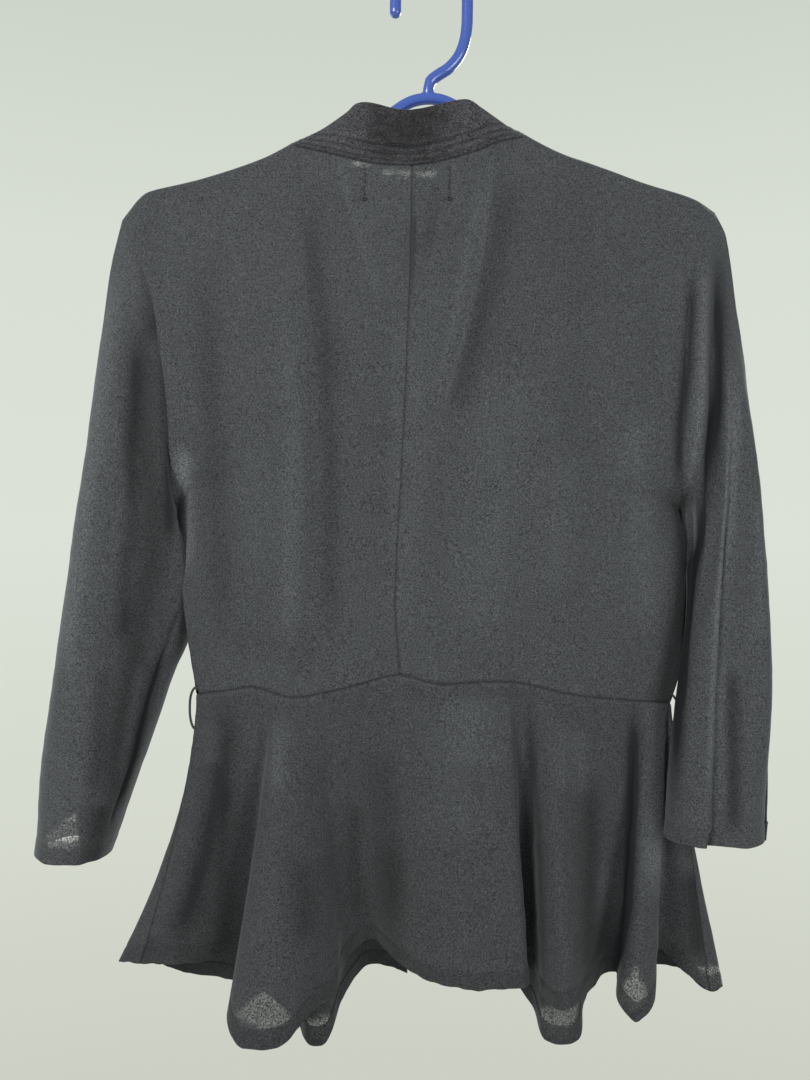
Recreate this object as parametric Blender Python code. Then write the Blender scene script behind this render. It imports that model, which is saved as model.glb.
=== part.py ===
"""Peplum jacket of thin cloth, hung on a plastic tube hanger by its hook.

The jacket's front faces -Y, its back +Y and its top +Z, so the wearer's left is +X.
The origin is the inside top of the hanger's hook, which is where the hanger hangs.
Tables and sizes are in millimetres, and meshes are made in metres.
"""
import math
from collections import namedtuple

import bmesh
import bpy
import numpy as np

MM = 0.001
WALL = 1.5
SEAM_GAP = 0.3
WIDE_GAP = 0.46
LEAST_LEAN = 0.5

NECK_SHARES = (0.0, 0.28, 0.54, 0.76, 0.92, 1.0)
NECK_PART = 0.4
SHOULDER_COLUMNS = 8
ARMHOLE_SHARES = (0.0, 0.012, 0.035, 0.08, 0.15, 0.24, 0.34, 0.45, 0.56, 0.67, 0.77, 0.86, 0.94, 1.0)
SIDE_ROWS = 5
UNDERARM_SHARE = 0.61
BAND_ROWS = 3
SLEEVE_SHARES = (
    0.0, 0.025, 0.06, 0.11, 0.17, 0.24, 0.31, 0.38, 0.45, 0.53, 0.61, 0.69, 0.77, 0.85, 0.93, 1.0
)
PEPLUM_ROWS = 9
PEPLUM_STEP = 17.0
PEPLUM_LEAST = 4.0

SHOULDER_REACH = 105.0
OVER_ROD = 6.3
OVER_FROM = 0.4
SIDE_POWER = 2.4
SIDE_BLEND_ROWS = 3.0
EDGE_FADE = 0.2
FRONT_BOW = 4.0
FOLD_RISE = 0.3
FOLD_FALL = 0.25
SLEEVE_FOLD_RISE = 0.25
SLEEVE_FOLD_FALL = 0.3
SLEEVE_HEAD_SHARE = 0.45

ROD = 8.0
ROD_SIDES = 12
HOOK_RADIUS = 25.2
HOOK_ARC_POINTS = 15
HOOK_STEP = 5.5
FRAME_STEP = 7.5
BAR_INSET = 8.0
BAR_POINTS = 14
LOOP_CORD = 1.6
LOOP_SIDES = 8

Point = namedtuple("Point", "x y z")
Depth = namedtuple("Depth", "z y")
Fold = namedtuple("Fold", "x_top x_low z_top z_low out half_width")
SleeveFold = namedtuple("SleeveFold", "turn_top turn_low start end out half_width")
Flute = namedtuple("Flute", "name waist_x x y z ease")
Finish = namedtuple("Finish", "colour roughness metallic")

CLOTH = Finish((0.0065, 0.0075, 0.008), 0.86, 0.0)
BAND_CLOTH = Finish((0.0045, 0.0045, 0.005), 0.9, 0.0)
THREAD = Finish((0.005, 0.005, 0.006), 0.8, 0.0)
PLASTIC = Finish((0.004, 0.028, 0.30), 0.22, 0.0)

# Seam stations of each side, from the centre back outward or from the top down
CENTRE_BACK = (
    Point(13.8, 16.0, -140.6),
    Point(15.2, 28.0, -211.0),
    Point(17.2, 32.0, -267.0),
    Point(19.2, 32.0, -315.0),
    Point(25.0, 28.0, -437.0),
    Point(22.0, 27.0, -487.5),
)
NECK = {
    "left": (
        Point(13.8, 16.0, -140.6),
        Point(39.4, 15.5, -138.9),
        Point(66.6, 12.5, -131.8),
        Point(82.0, 9.5, -127.2),
        Point(93.5, 5.8, -123.4),
        Point(96.7, 0.0, -119.6),
    ),
    "right": (
        Point(13.8, 16.0, -140.6),
        Point(-3.4, 15.5, -137.9),
        Point(-30.7, 12.5, -129.2),
        Point(-47.0, 9.5, -121.5),
        Point(-61.5, 5.8, -117.3),
        Point(-65.2, 0.0, -113.7),
    ),
}
SHOULDER = {
    "left": (
        Point(96.7, 0.0, -119.6),
        Point(120.0, 0.0, -130.9),
        Point(162.1, 0.0, -144.9),
        Point(197.1, 0.0, -153.3),
        Point(206.5, 0.0, -160.5),
        Point(216.5, 0.0, -173.0),
    ),
    "right": (
        Point(-65.2, 0.0, -113.7),
        Point(-90.4, 0.0, -126.7),
        Point(-116.2, 0.0, -135.5),
        Point(-151.5, 0.0, -148.4),
        Point(-185.0, 0.0, -159.0),
        Point(-198.2, 0.0, -167.7),
    ),
}
ARMHOLE = {
    "left": (
        Point(216.5, 0.0, -173.0),
        Point(208.3, 10.0, -189.9),
        Point(192.0, 19.0, -229.6),
        Point(184.7, 22.0, -270.1),
        Point(180.6, 22.0, -302.0),
        Point(178.8, 20.5, -335.0),
        Point(178.6, 14.5, -358.0),
        Point(178.8, 0.0, -371.0),
    ),
    "right": (
        Point(-198.2, 0.0, -167.7),
        Point(-188.4, 10.0, -183.6),
        Point(-180.5, 17.0, -207.4),
        Point(-173.2, 21.0, -245.9),
        Point(-171.2, 22.5, -310.0),
        Point(-170.3, 20.5, -338.0),
        Point(-171.0, 14.5, -362.0),
        Point(-172.8, 0.0, -375.0),
    ),
}
SIDE_SEAM = {
    "left": (
        Point(178.8, 0.0, -371.0),
        Point(177.5, 0.0, -405.0),
        Point(174.6, 0.0, -438.7),
        Point(170.7, 0.0, -468.8),
        Point(164.8, 0.0, -504.7),
    ),
    "right": (
        Point(-172.8, 0.0, -375.0),
        Point(-175.0, 0.0, -407.0),
        Point(-174.6, 0.0, -438.7),
        Point(-170.8, 0.0, -480.7),
        Point(-167.6, 0.0, -511.0),
    ),
}
BAND_SEAM = {
    "left": (
        Point(96.7, 0.0, -119.6),
        Point(96.4, -6.3, -125.5),
        Point(94.0, -11.0, -145.0),
        Point(69.6, -25.0, -211.0),
        Point(54.0, -34.0, -255.0),
        Point(53.5, -37.0, -310.0),
        Point(55.0, -35.0, -410.0),
        Point(56.0, -29.0, -499.0),
    ),
    "right": (
        Point(-65.2, 0.0, -113.7),
        Point(-66.5, -6.3, -119.6),
        Point(-72.0, -11.0, -140.0),
        Point(-60.4, -22.0, -207.0),
        Point(-49.0, -31.0, -280.0),
        Point(-36.0, -35.0, -330.0),
        Point(-21.0, -35.0, -410.0),
        Point(-11.0, -29.0, -499.0),
    ),
}
BAND_EDGE_FRONT = {
    "left": (
        Point(76.0, -1.5, -109.5),
        Point(73.5, -8.0, -119.0),
        Point(68.0, -11.0, -134.0),
        Point(41.6, -22.0, -200.0),
        Point(24.5, -33.0, -238.0),
        Point(23.5, -38.0, -300.0),
        Point(26.0, -36.0, -405.0),
        Point(27.0, -30.0, -499.0),
    ),
    "right": (
        Point(-52.0, -1.5, -106.5),
        Point(-49.0, -8.0, -117.0),
        Point(-45.5, -11.0, -134.0),
        Point(-33.0, -18.0, -202.0),
        Point(-21.5, -29.0, -275.0),
        Point(-8.0, -35.0, -322.0),
        Point(8.0, -36.0, -405.0),
        Point(18.0, -30.0, -499.0),
    ),
}
BAND_EDGE_BACK = {
    "left": (
        Point(16.1, 8.5, -100.0),
        Point(26.0, 8.5, -98.9),
        Point(43.3, 7.5, -94.3),
        Point(52.1, 6.0, -94.4),
        Point(58.4, 4.5, -99.6),
        Point(76.0, -1.5, -109.5),
    ),
    "right": (
        Point(16.1, 8.5, -100.0),
        Point(6.2, 8.5, -98.6),
        Point(-18.7, 7.5, -92.5),
        Point(-26.3, 6.5, -92.1),
        Point(-34.0, 4.5, -96.4),
        Point(-52.0, -1.5, -106.5),
    ),
}
WAIST_BACK = (
    Point(164.8, 0.0, -504.7),
    Point(143.1, 13.0, -500.4),
    Point(121.9, 20.0, -496.8),
    Point(94.3, 24.5, -503.0),
    Point(59.2, 27.0, -496.6),
    Point(22.0, 27.0, -487.5),
    Point(-1.6, 28.0, -493.3),
    Point(-52.6, 26.0, -492.5),
    Point(-97.4, 22.0, -502.0),
    Point(-146.6, 12.5, -507.7),
    Point(-167.6, 0.0, -511.0),
)
WAIST_FRONT = (
    Point(164.8, 0.0, -504.7),
    Point(145.0, -13.0, -503.5),
    Point(110.0, -22.5, -502.0),
    Point(56.0, -29.0, -499.0),
    Point(22.0, -30.0, -499.0),
    Point(-11.0, -29.0, -499.0),
    Point(-90.0, -24.0, -503.0),
    Point(-145.0, -13.0, -509.0),
    Point(-167.6, 0.0, -511.0),
)

# How far the cloth stands out along the middle of the back and of each front
BACK_DEPTH = (
    Depth(-115.0, 14.0),
    Depth(-170.0, 22.0),
    Depth(-230.0, 29.0),
    Depth(-310.0, 32.0),
    Depth(-437.0, 29.0),
    Depth(-511.0, 27.0),
)
FRONT_DEPTH = (
    Depth(-115.0, -14.0),
    Depth(-170.0, -22.0),
    Depth(-240.0, -32.0),
    Depth(-310.0, -37.0),
    Depth(-437.0, -34.0),
    Depth(-511.0, -29.0),
)

# Soft upright folds of the bodice: a ridge stands out and a trough goes in
BACK_FOLDS = (
    Fold(104.0, 98.0, -235.0, -482.0, 3.2, 13.0),
    Fold(80.0, 72.0, -215.0, -450.0, -3.2, 13.0),
    Fold(-20.0, -24.0, -200.0, -480.0, 2.6, 16.0),
    Fold(-62.0, -60.0, -220.0, -488.0, -3.2, 12.0),
    Fold(-84.0, -80.0, -230.0, -490.0, 2.6, 11.0),
    Fold(-110.0, -104.0, -240.0, -480.0, -2.2, 11.0),
    Fold(-136.0, -128.0, -230.0, -500.0, 2.8, 13.0),
    Fold(140.0, 132.0, -230.0, -495.0, -2.4, 14.0),
)
FRONT_FOLDS = (
    Fold(110.0, 100.0, -230.0, -480.0, -3.0, 15.0),
    Fold(140.0, 128.0, -240.0, -490.0, 2.4, 13.0),
    Fold(-100.0, -90.0, -230.0, -480.0, -3.0, 15.0),
    Fold(-132.0, -124.0, -240.0, -490.0, 2.4, 13.0),
)

# Outer and inner fold of each sleeve from the shoulder tip and underarm to the cuff
SLEEVE_OUTER = {
    "left": (
        Point(216.5, 0.0, -173.0),
        Point(224.3, 0.0, -206.5),
        Point(230.7, 0.0, -247.8),
        Point(247.1, -2.0, -367.4),
        Point(264.0, -6.0, -479.5),
        Point(275.0, -9.0, -561.4),
        Point(278.5, -10.0, -614.9),
    ),
    "right": (
        Point(-198.2, 0.0, -167.7),
        Point(-207.0, 0.0, -186.0),
        Point(-214.2, 2.0, -245.4),
        Point(-227.0, 10.0, -367.9),
        Point(-232.0, 17.0, -483.0),
        Point(-228.0, 21.0, -550.0),
        Point(-225.3, 24.0, -599.7),
    ),
}
SLEEVE_INNER = {
    "left": (
        Point(178.8, 0.0, -371.0),
        Point(183.4, -0.2, -370.0),
        Point(185.8, -2.5, -376.5),
        Point(184.6, -8.0, -394.0),
        Point(182.0, -17.0, -422.0),
        Point(175.5, -24.0, -458.0),
        Point(185.0, -17.0, -494.0),
        Point(206.3, -12.0, -559.1),
        Point(227.3, -10.0, -617.5),
    ),
    "right": (
        Point(-172.8, 0.0, -375.0),
        Point(-177.3, 0.2, -374.2),
        Point(-180.0, 3.5, -380.5),
        Point(-179.8, 11.0, -396.0),
        Point(-177.5, 18.0, -428.0),
        Point(-168.0, 20.0, -490.3),
        Point(-161.4, 21.0, -534.9),
        Point(-156.5, 24.0, -596.3),
    ),
}
# Half depth of each sleeve toward the back and the front, at shares of its length
SleeveDepth = namedtuple("SleeveDepth", "share back front")
SLEEVE_DEPTH = {
    "left": (
        SleeveDepth(0.0, 22.0, 21.0),
        SleeveDepth(0.4, 25.0, 22.0),
        SleeveDepth(1.0, 36.0, 34.0),
    ),
    "right": (
        SleeveDepth(0.0, 22.0, 21.0),
        SleeveDepth(0.4, 24.0, 19.0),
        SleeveDepth(1.0, 27.0, 17.0),
    ),
}
# Sleeve folds: turn runs 0 at the outer fold over the back to 1 at the inner fold, -1 by the front
SLEEVE_FOLDS = {
    "left": (
        SleeveFold(0.46, 0.52, 0.05, 0.75, -5.0, 0.13),
        SleeveFold(0.22, 0.28, 0.10, 0.95, 2.5, 0.13),
        SleeveFold(-0.45, -0.50, 0.10, 0.90, -3.5, 0.14),
    ),
    "right": (
        SleeveFold(0.20, 0.88, 0.02, 0.50, -5.0, 0.12),
        SleeveFold(0.10, 0.30, 0.12, 1.00, 4.5, 0.12),
        SleeveFold(-0.45, -0.50, 0.10, 0.90, -2.5, 0.14),
    ),
}

# Flutes: where each ridge and valley starts on the waist seam and where it ends at the hem
PEPLUM_BACK = (
    Flute("left side seam", 164.8, 203.0, 4.0, -691.6, 1.5),
    Flute("side ridge", 150.0, 180.0, 14.0, -688.0, 1.3),
    Flute("slope to the first valley", 133.0, 155.0, 2.0, -690.0, 1.15),
    Flute("first valley, left wall", 119.0, 139.5, -19.0, -685.0, 1.1),
    Flute("first valley, right wall", 114.8, 131.0, -20.0, -687.0, 1.1),
    Flute("first flute, left edge", 110.5, 136.0, 40.0, -711.0, 1.15),
    Flute("first flute, left of ridge", 107.5, 126.0, 58.0, -720.5, 1.12),
    Flute("first flute, ridge", 103.5, 109.5, 65.0, -721.5, 1.1),
    Flute("first flute, right of ridge", 99.0, 95.0, 60.0, -719.0, 1.07),
    Flute("first flute, right slope", 93.5, 81.0, 46.0, -706.0, 1.05),
    Flute("first flute, foot", 84.0, 65.0, 25.0, -702.0, 1.0),
    Flute("second valley, left wall", 73.0, 59.0, 4.0, -688.0, 1.0),
    Flute("second valley", 54.0, 42.0, -9.0, -679.0, 1.2),
    Flute("second valley, right wall", 33.0, 22.0, 10.0, -689.5, 1.2),
    Flute("centre panel, left", 0.0, -12.0, 27.0, -697.7, 1.1),
    Flute("centre panel, right", -30.0, -38.5, 30.0, -697.5, 1.0),
    Flute("centre panel, edge", -49.0, -61.0, 29.0, -695.7, 1.0),
    Flute("deep valley, left wall", -54.0, -62.0, -8.0, -701.0, 1.0),
    Flute("deep valley, right wall", -58.5, -70.5, -9.0, -703.0, 1.0),
    Flute("second flute, left edge", -63.5, -75.0, 22.0, -707.0, 1.0),
    Flute("second flute, ridge", -74.0, -87.0, 42.0, -706.0, 1.0),
    Flute("second flute, right slope", -90.0, -106.0, 20.0, -705.0, 1.0),
    Flute("third valley, left wall", -103.0, -123.0, -9.0, -704.0, 1.0),
    Flute("third valley, right wall", -108.5, -131.5, -10.0, -704.0, 1.0),
    Flute("third flute, left edge", -113.5, -124.0, 30.0, -706.2, 1.0),
    Flute("third flute, ridge", -120.0, -132.0, 46.0, -711.5, 1.0),
    Flute("third flute, right slope", -131.0, -147.0, 35.0, -704.0, 1.0),
    Flute("fourth valley", -149.0, -160.0, -8.0, -685.0, 0.9),
    Flute("right side ridge", -159.0, -180.0, -1.0, -701.4, 0.95),
    Flute("right side seam", -167.6, -197.0, -6.0, -715.0, 1.0),
)
PEPLUM_FRONT = {
    "left": (
        Flute("left side seam", 164.8, 203.0, 4.0, -691.6, 1.5),
        Flute("left side ridge", 161.0, 222.0, -11.0, -696.5, 1.6),
        Flute("side slope", 150.0, 205.0, -31.0, -704.0, 1.4),
        Flute("outer panel", 136.0, 178.0, -44.0, -719.5, 1.2),
        Flute("front flute, outer", 122.0, 158.0, -59.0, -729.0, 1.1),
        Flute("front flute, inner", 108.0, 128.0, -62.0, -739.0, 1.1),
        Flute("front valley, outer wall", 96.0, 98.0, -36.0, -751.0, 1.1),
        Flute("front valley, outer", 87.0, 88.0, -17.0, -757.5, 1.1),
        Flute("front valley, inner", 79.0, 75.0, -18.0, -756.5, 1.1),
        Flute("front valley, inner wall", 70.0, 66.0, -38.0, -738.0, 1.1),
        Flute("front panel", 57.0, 50.0, -66.0, -723.0, 1.1),
        Flute("front panel, middle", 44.0, 34.0, -71.0, -724.0, 1.1),
        Flute("left front edge", 27.0, 17.0, -66.0, -728.0, 1.1),
    ),
    "right": (
        Flute("right side seam", -167.6, -197.0, -6.0, -715.0, 1.0),
        Flute("right side edge", -164.0, -209.0, -16.0, -716.5, 1.0),
        Flute("side slope", -153.0, -203.0, -32.0, -727.0, 1.0),
        Flute("outer panel", -141.0, -182.0, -42.0, -713.0, 1.05),
        Flute("front flute", -123.0, -154.0, -62.0, -722.0, 1.1),
        Flute("front flute, inner", -110.0, -130.0, -60.0, -728.0, 1.1),
        Flute("front valley, outer wall", -100.0, -113.0, -38.0, -738.0, 1.1),
        Flute("front valley, outer", -91.5, -105.5, -16.0, -755.0, 1.1),
        Flute("front valley, inner", -82.0, -83.0, -15.0, -755.0, 1.1),
        Flute("front valley, inner wall", -73.0, -74.5, -36.0, -738.0, 1.1),
        Flute("front panel", -52.0, -52.0, -64.0, -724.0, 1.1),
        Flute("front panel, middle", -16.0, -22.0, -72.0, -725.0, 1.1),
        Flute("right front edge", 18.0, 6.0, -62.0, -727.0, 1.1),
    ),
}

# Centreline of the hanger's rod, from the hook's tip to the post, then once round its frame
HOOK_FOOT = (
    Point(-25.2, 0.0, -33.0),
    Point(-23.4, 0.0, -47.0),
    Point(-19.2, 0.0, -58.1),
    Point(-12.2, 0.0, -66.5),
    Point(-4.5, 0.0, -71.6),
    Point(0.8, 0.0, -76.0),
    Point(2.2, 0.0, -82.0),
    Point(2.2, 0.0, -88.0),
)
HOOK_TIP_Z = -31.5
ARCH = (
    Point(-53.0, 0.0, -120.0),
    Point(-40.0, 0.0, -110.5),
    Point(-16.5, 0.0, -93.2),
    Point(-4.0, 0.0, -88.2),
    Point(7.0, 0.0, -88.2),
    Point(17.5, 0.0, -91.5),
    Point(40.0, 0.0, -107.0),
    Point(82.0, 0.0, -127.0),
)
ARM_DROP = 6.4
NECK_DROP = 3.6
ARM_STATIONS = {"left": 3, "right": 5}
BAR_Z = -184.0
CORNER = {
    "left": (
        Point(192.0, 0.0, -158.8), Point(200.0, 0.0, -165.5), Point(201.0, 0.0, -174.5),
        Point(196.0, 0.0, -181.8),
    ),
    "right": (Point(-190.0, 0.0, -170.0), Point(-191.0, 0.0, -177.0), Point(-187.0, 0.0, -182.0)),
}

# Thread loops that hold a belt, from the waist seam down on to the peplum
LOOPS = {
    "left": (
        Point(168.2, 0.0, -500.6),
        Point(170.6, 0.0, -505.5),
        Point(171.4, 0.0, -514.0),
        Point(170.8, 0.0, -522.5),
        Point(168.6, 0.0, -528.5),
    ),
    "right": (
        Point(-170.6, 0.0, -505.0),
        Point(-174.5, 0.0, -511.0),
        Point(-176.4, 0.0, -519.0),
        Point(-175.2, 0.0, -527.0),
        Point(-172.8, 0.0, -533.5),
    ),
}


def array(rows):
    """Turn rows of stations into an array of points."""
    return np.array([tuple(row) for row in rows], float)


def shares(points):
    """Distance along a run of points, from 0 at its start to 1 at its end."""
    steps = np.linalg.norm(np.diff(points, axis=0), axis=1)
    along = np.concatenate([[0.0], np.cumsum(steps)])
    return along / along[-1]


def hermite(knots, values, at):
    """Smooth curve through values at knots, read at the places asked for."""
    knots = np.asarray(knots, float)
    values = np.asarray(values, float)
    at = np.clip(np.atleast_1d(np.asarray(at, float)), knots[0], knots[-1])
    slopes = np.empty_like(values)
    slopes[1:-1] = ((values[2:] - values[:-2]).T / (knots[2:] - knots[:-2])).T
    slopes[0] = (values[1] - values[0]) / (knots[1] - knots[0])
    slopes[-1] = (values[-1] - values[-2]) / (knots[-1] - knots[-2])
    spot = np.clip(np.searchsorted(knots, at, side="right") - 1, 0, len(knots) - 2)
    width = knots[spot + 1] - knots[spot]
    t = (at - knots[spot]) / width
    basis = (2 * t**3 - 3 * t**2 + 1, t**3 - 2 * t**2 + t, -2 * t**3 + 3 * t**2, t**3 - t**2)
    if values.ndim == 2:
        basis = tuple(part[:, None] for part in basis)
        width = width[:, None]
    start, end = values[spot], values[spot + 1]
    return (
        basis[0] * start + basis[1] * width * slopes[spot]
        + basis[2] * end + basis[3] * width * slopes[spot + 1]
    )


def along(rows, at):
    """Points on the smooth curve through a table's stations, at shares of its length."""
    points = array(rows)
    return hermite(shares(points), points, at)


def by_x(rows, at):
    """Points on the smooth curve through a table's stations, at given x."""
    points = array(rows)
    points = points[np.argsort(points[:, 0])]
    at = np.atleast_1d(np.asarray(at, float))
    level = hermite(points[:, 0], points[:, 1:], at)
    return np.column_stack([at, level])


def depth_at(rows, z):
    """Stand-out of the cloth at height z, from a table of depths."""
    table = array(rows)[::-1]
    return np.interp(z, table[:, 0], table[:, 1])


def soft(value):
    """Rise from 0 to 1 with level ends."""
    value = np.clip(value, 0.0, 1.0)
    return value * value * (3.0 - 2.0 * value)


def fold_height(folds, x, z):
    """Height of the soft upright folds at points x, z."""
    total = np.zeros_like(x)
    for fold in folds:
        share = (fold.z_top - z) / (fold.z_top - fold.z_low)
        centre = fold.x_top + (fold.x_low - fold.x_top) * np.clip(share, 0.0, 1.0)
        fade = soft(share / FOLD_RISE) * soft((1.0 - share) / FOLD_FALL)
        total += fold.out * fade * np.exp(-(((x - centre) / fold.half_width) ** 2))
    return total


def row_shares():
    """Rows of every bodice piece as shares of its height, with the underarm on a row."""
    below = np.linspace(0.0, 1.0, SIDE_ROWS + 1)[1:]
    return np.concatenate([
        np.array(ARMHOLE_SHARES) * UNDERARM_SHARE, UNDERARM_SHARE + below * (1.0 - UNDERARM_SHARE)
    ])


def outer_edge(side, front):
    """Armhole and side seam of one bodice piece, one point a row."""
    hole = along(ARMHOLE[side], ARMHOLE_SHARES)
    if front:
        inward = 1.0 if side == "left" else -1.0
        bow = np.sin(np.pi * np.array(ARMHOLE_SHARES))
        hole[:, 0] -= inward * FRONT_BOW * bow
        hole[:, 1] *= -1.0
    seam = along(SIDE_SEAM[side], np.linspace(0.0, 1.0, SIDE_ROWS + 1))[1:]
    return np.vstack([hole, seam])


def patch(top, low, inner, outer, u, v):
    """Grid between four edge curves: top and low run by u, inner and outer by v."""
    u = u[None, :, None]
    v = v[:, None, None]
    corners = (
        (1 - u) * (1 - v) * top[0] + u * (1 - v) * top[-1]
        + (1 - u) * v * low[0] + u * v * low[-1]
    )
    return (
        (1 - v) * top[None] + v * low[None] + (1 - u) * inner[:, None] + u * outer[:, None]
        - corners
    )


def bodice_depth(grid, top_y, low_y, outer_y, middle, u, over, rod_y):
    """Depth of a bodice piece: over the hanger at its top and folded back at its side."""
    rows = np.arange(grid.shape[0])[:, None]
    underarm_row = len(ARMHOLE_SHARES) - 1.0
    below = np.clip((rows - underarm_row) / SIDE_BLEND_ROWS + 1.0, 0.0, 1.0)
    side_power = 1.0 - 0.5 * soft(below)
    across = (1.0 - u[None, :] ** SIDE_POWER) ** side_power
    out = outer_y[:, None] + (middle - outer_y[:, None]) * across
    drop = grid[0, :, 2][None] - grid[:, :, 2]
    grow = np.clip(drop / SHOULDER_REACH, 0.0, 1.0)
    from_neck = top_y[None, :] * (1.0 - grow) + out * grow
    radius = abs(rod_y)
    begun = np.clip(np.abs(top_y) / radius, 0.0, 1.0)
    start = radius * (1.0 - np.sqrt(1.0 - begun ** 2))
    wrap = np.sqrt(1.0 - (1.0 - np.clip((drop + start[None, :]) / radius, 0.0, 1.0)) ** 2)
    round_rod = np.sign(rod_y) * np.maximum(np.abs(top_y)[None, :], radius * wrap)
    from_rod = round_rod * (1.0 - grow) + out * grow
    y = from_neck * (1.0 - over[None, :]) + from_rod * over[None, :]
    last = (rows / (grid.shape[0] - 1.0)) ** 4
    return y * (1.0 - last) + low_y[None, :] * last


def back_grid(side):
    """Middle surface of one half of the back, rows from the top and columns from its centre."""
    shoulder_shares = np.sin(np.linspace(0.0, np.pi / 2, SHOULDER_COLUMNS + 1)[1:])
    u = np.concatenate([
        np.array(NECK_SHARES) * NECK_PART, NECK_PART + (1.0 - NECK_PART) * shoulder_shares
    ])
    v = row_shares()
    top = np.vstack([along(NECK[side], NECK_SHARES), along(SHOULDER[side], shoulder_shares)])
    side_x = SIDE_SEAM[side][-1].x
    low = by_x(WAIST_BACK, CENTRE_BACK[-1].x + (side_x - CENTRE_BACK[-1].x) * u)
    inner = along(CENTRE_BACK, v)
    outer = outer_edge(side, False)
    grid = patch(top, low, inner, outer, u, v)
    middle = depth_at(BACK_DEPTH, grid[:, :, 2])
    over = soft((u / NECK_PART - OVER_FROM) / (1.0 - OVER_FROM))
    y = bodice_depth(grid, top[:, 1], low[:, 1], outer[:, 1], middle, u, over, OVER_ROD)
    edge = np.clip((1.0 - u[None, :]) / EDGE_FADE, 0.0, 1.0)
    y += fold_height(BACK_FOLDS, grid[:, :, 0], grid[:, :, 2]) * edge
    y[:, 0] = inner[:, 1]
    y[:, -1] = outer[:, 1]
    grid[:, :, 1] = y
    return grid


def front_grid(side):
    """Middle surface of one front, rows from the shoulder and columns from the band seam."""
    u = np.sin(np.linspace(0.0, np.pi / 2, SHOULDER_COLUMNS + 1))
    v = row_shares()
    top = along(SHOULDER[side], u)
    band_x = BAND_SEAM[side][-1].x
    low = by_x(WAIST_FRONT, band_x + (SIDE_SEAM[side][-1].x - band_x) * u)
    inner = along(BAND_SEAM[side], v)
    outer = outer_edge(side, True)
    grid = patch(top, low, inner, outer, u, v)
    middle = depth_at(FRONT_DEPTH, grid[:, :, 2])
    over = np.ones(len(u))
    y = bodice_depth(grid, top[:, 1], low[:, 1], outer[:, 1], middle, u, over, -OVER_ROD)
    pull = (1.0 - u[None, :]) ** 3
    y = y * (1.0 - pull) + inner[:, 1][:, None] * pull
    edge = np.clip((1.0 - u[None, :]) / EDGE_FADE, 0.0, 1.0)
    y += fold_height(FRONT_FOLDS, grid[:, :, 0], grid[:, :, 2]) * edge * (1.0 - pull)
    y[0] = 0.0
    y[:, -1] = outer[:, 1]
    grid[:, :, 1] = y
    return grid


def band_grid():
    """Middle surface of the collar band, columns from the left waist round the neck to the right."""
    across = np.linspace(0.0, 1.0, BAND_ROWS + 1)
    v = row_shares()
    neck = NECK_SHARES
    seam = np.vstack([
        along(BAND_SEAM["left"], v)[::-1],
        along(NECK["left"], neck)[::-1][1:],
        along(NECK["right"], neck)[1:],
        along(BAND_SEAM["right"], v)[1:],
    ])
    edge = np.vstack([
        along(BAND_EDGE_FRONT["left"], v)[::-1],
        along(BAND_EDGE_BACK["left"], neck)[::-1][1:],
        along(BAND_EDGE_BACK["right"], neck)[1:],
        along(BAND_EDGE_FRONT["right"], v)[1:],
    ])
    return seam[None] * (1.0 - across[:, None, None]) + edge[None] * across[:, None, None]


def sleeve_grid(side):
    """Middle surface of a sleeve, rings from the armhole to the cuff, closed round."""
    back = outer_edge(side, False)[:len(ARMHOLE_SHARES)]
    front = outer_edge(side, True)[:len(ARMHOLE_SHARES)]
    loop = np.vstack([back, front[::-1][1:-1]])
    half = np.array(ARMHOLE_SHARES)
    turn = np.concatenate([half, -half[::-1][1:-1]])
    angle = np.pi * turn
    reach = (1.0 - np.cos(angle)) / 2.0
    rows = np.array(SLEEVE_SHARES)
    outer = along(SLEEVE_OUTER[side], rows)
    inner = along(SLEEVE_INNER[side], rows)
    start = outer[0][None] * (1.0 - reach[:, None]) + inner[0][None] * reach[:, None]
    armhole_shape = loop - start
    table = array(SLEEVE_DEPTH[side])
    grid = np.empty((len(rows), len(turn), 3))
    for i, t in enumerate(rows):
        line = outer[i][None] * (1.0 - reach[:, None]) + inner[i][None] * reach[:, None]
        bulge = np.zeros_like(line)
        to_back = np.interp(t, table[:, 0], table[:, 1])
        to_front = np.interp(t, table[:, 0], table[:, 2])
        side_depth = np.where(turn >= 0.0, to_back, to_front)
        bulge[:, 1] = side_depth * np.sin(angle)
        morph = soft(t / SLEEVE_HEAD_SHARE)
        ring = line + armhole_shape * (1.0 - morph)
        ring[:, 1] = loop[:, 1] * (1.0 - morph) + (line + bulge)[:, 1] * morph
        ring[:, 1] += sleeve_fold_height(side, turn, t)
        grid[i] = ring
    return grid


def sleeve_fold_height(side, turn, t):
    """Movement of a ring's points outward in y by the sleeve's folds."""
    total = np.zeros_like(turn)
    for fold in SLEEVE_FOLDS[side]:
        share = (t - fold.start) / (fold.end - fold.start)
        if share <= 0.0 or share > 1.0:
            continue
        fade = soft(share / SLEEVE_FOLD_RISE)
        if fold.end < 1.0:
            fade *= soft((1.0 - share) / SLEEVE_FOLD_FALL)
        centre = fold.turn_top + (fold.turn_low - fold.turn_top) * share
        away = 1.0 if centre > 0.0 else -1.0
        total += away * fold.out * fade * np.exp(-(((turn - centre) / fold.half_width) ** 2))
    return total


def polyline_by_x(points, x):
    """Point of a run of points at x, straight between them."""
    order = np.argsort(points[:, 0])
    sorted_points = points[order]
    return np.column_stack([
        x,
        np.interp(x, sorted_points[:, 0], sorted_points[:, 1]),
        np.interp(x, sorted_points[:, 0], sorted_points[:, 2]),
    ])


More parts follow.
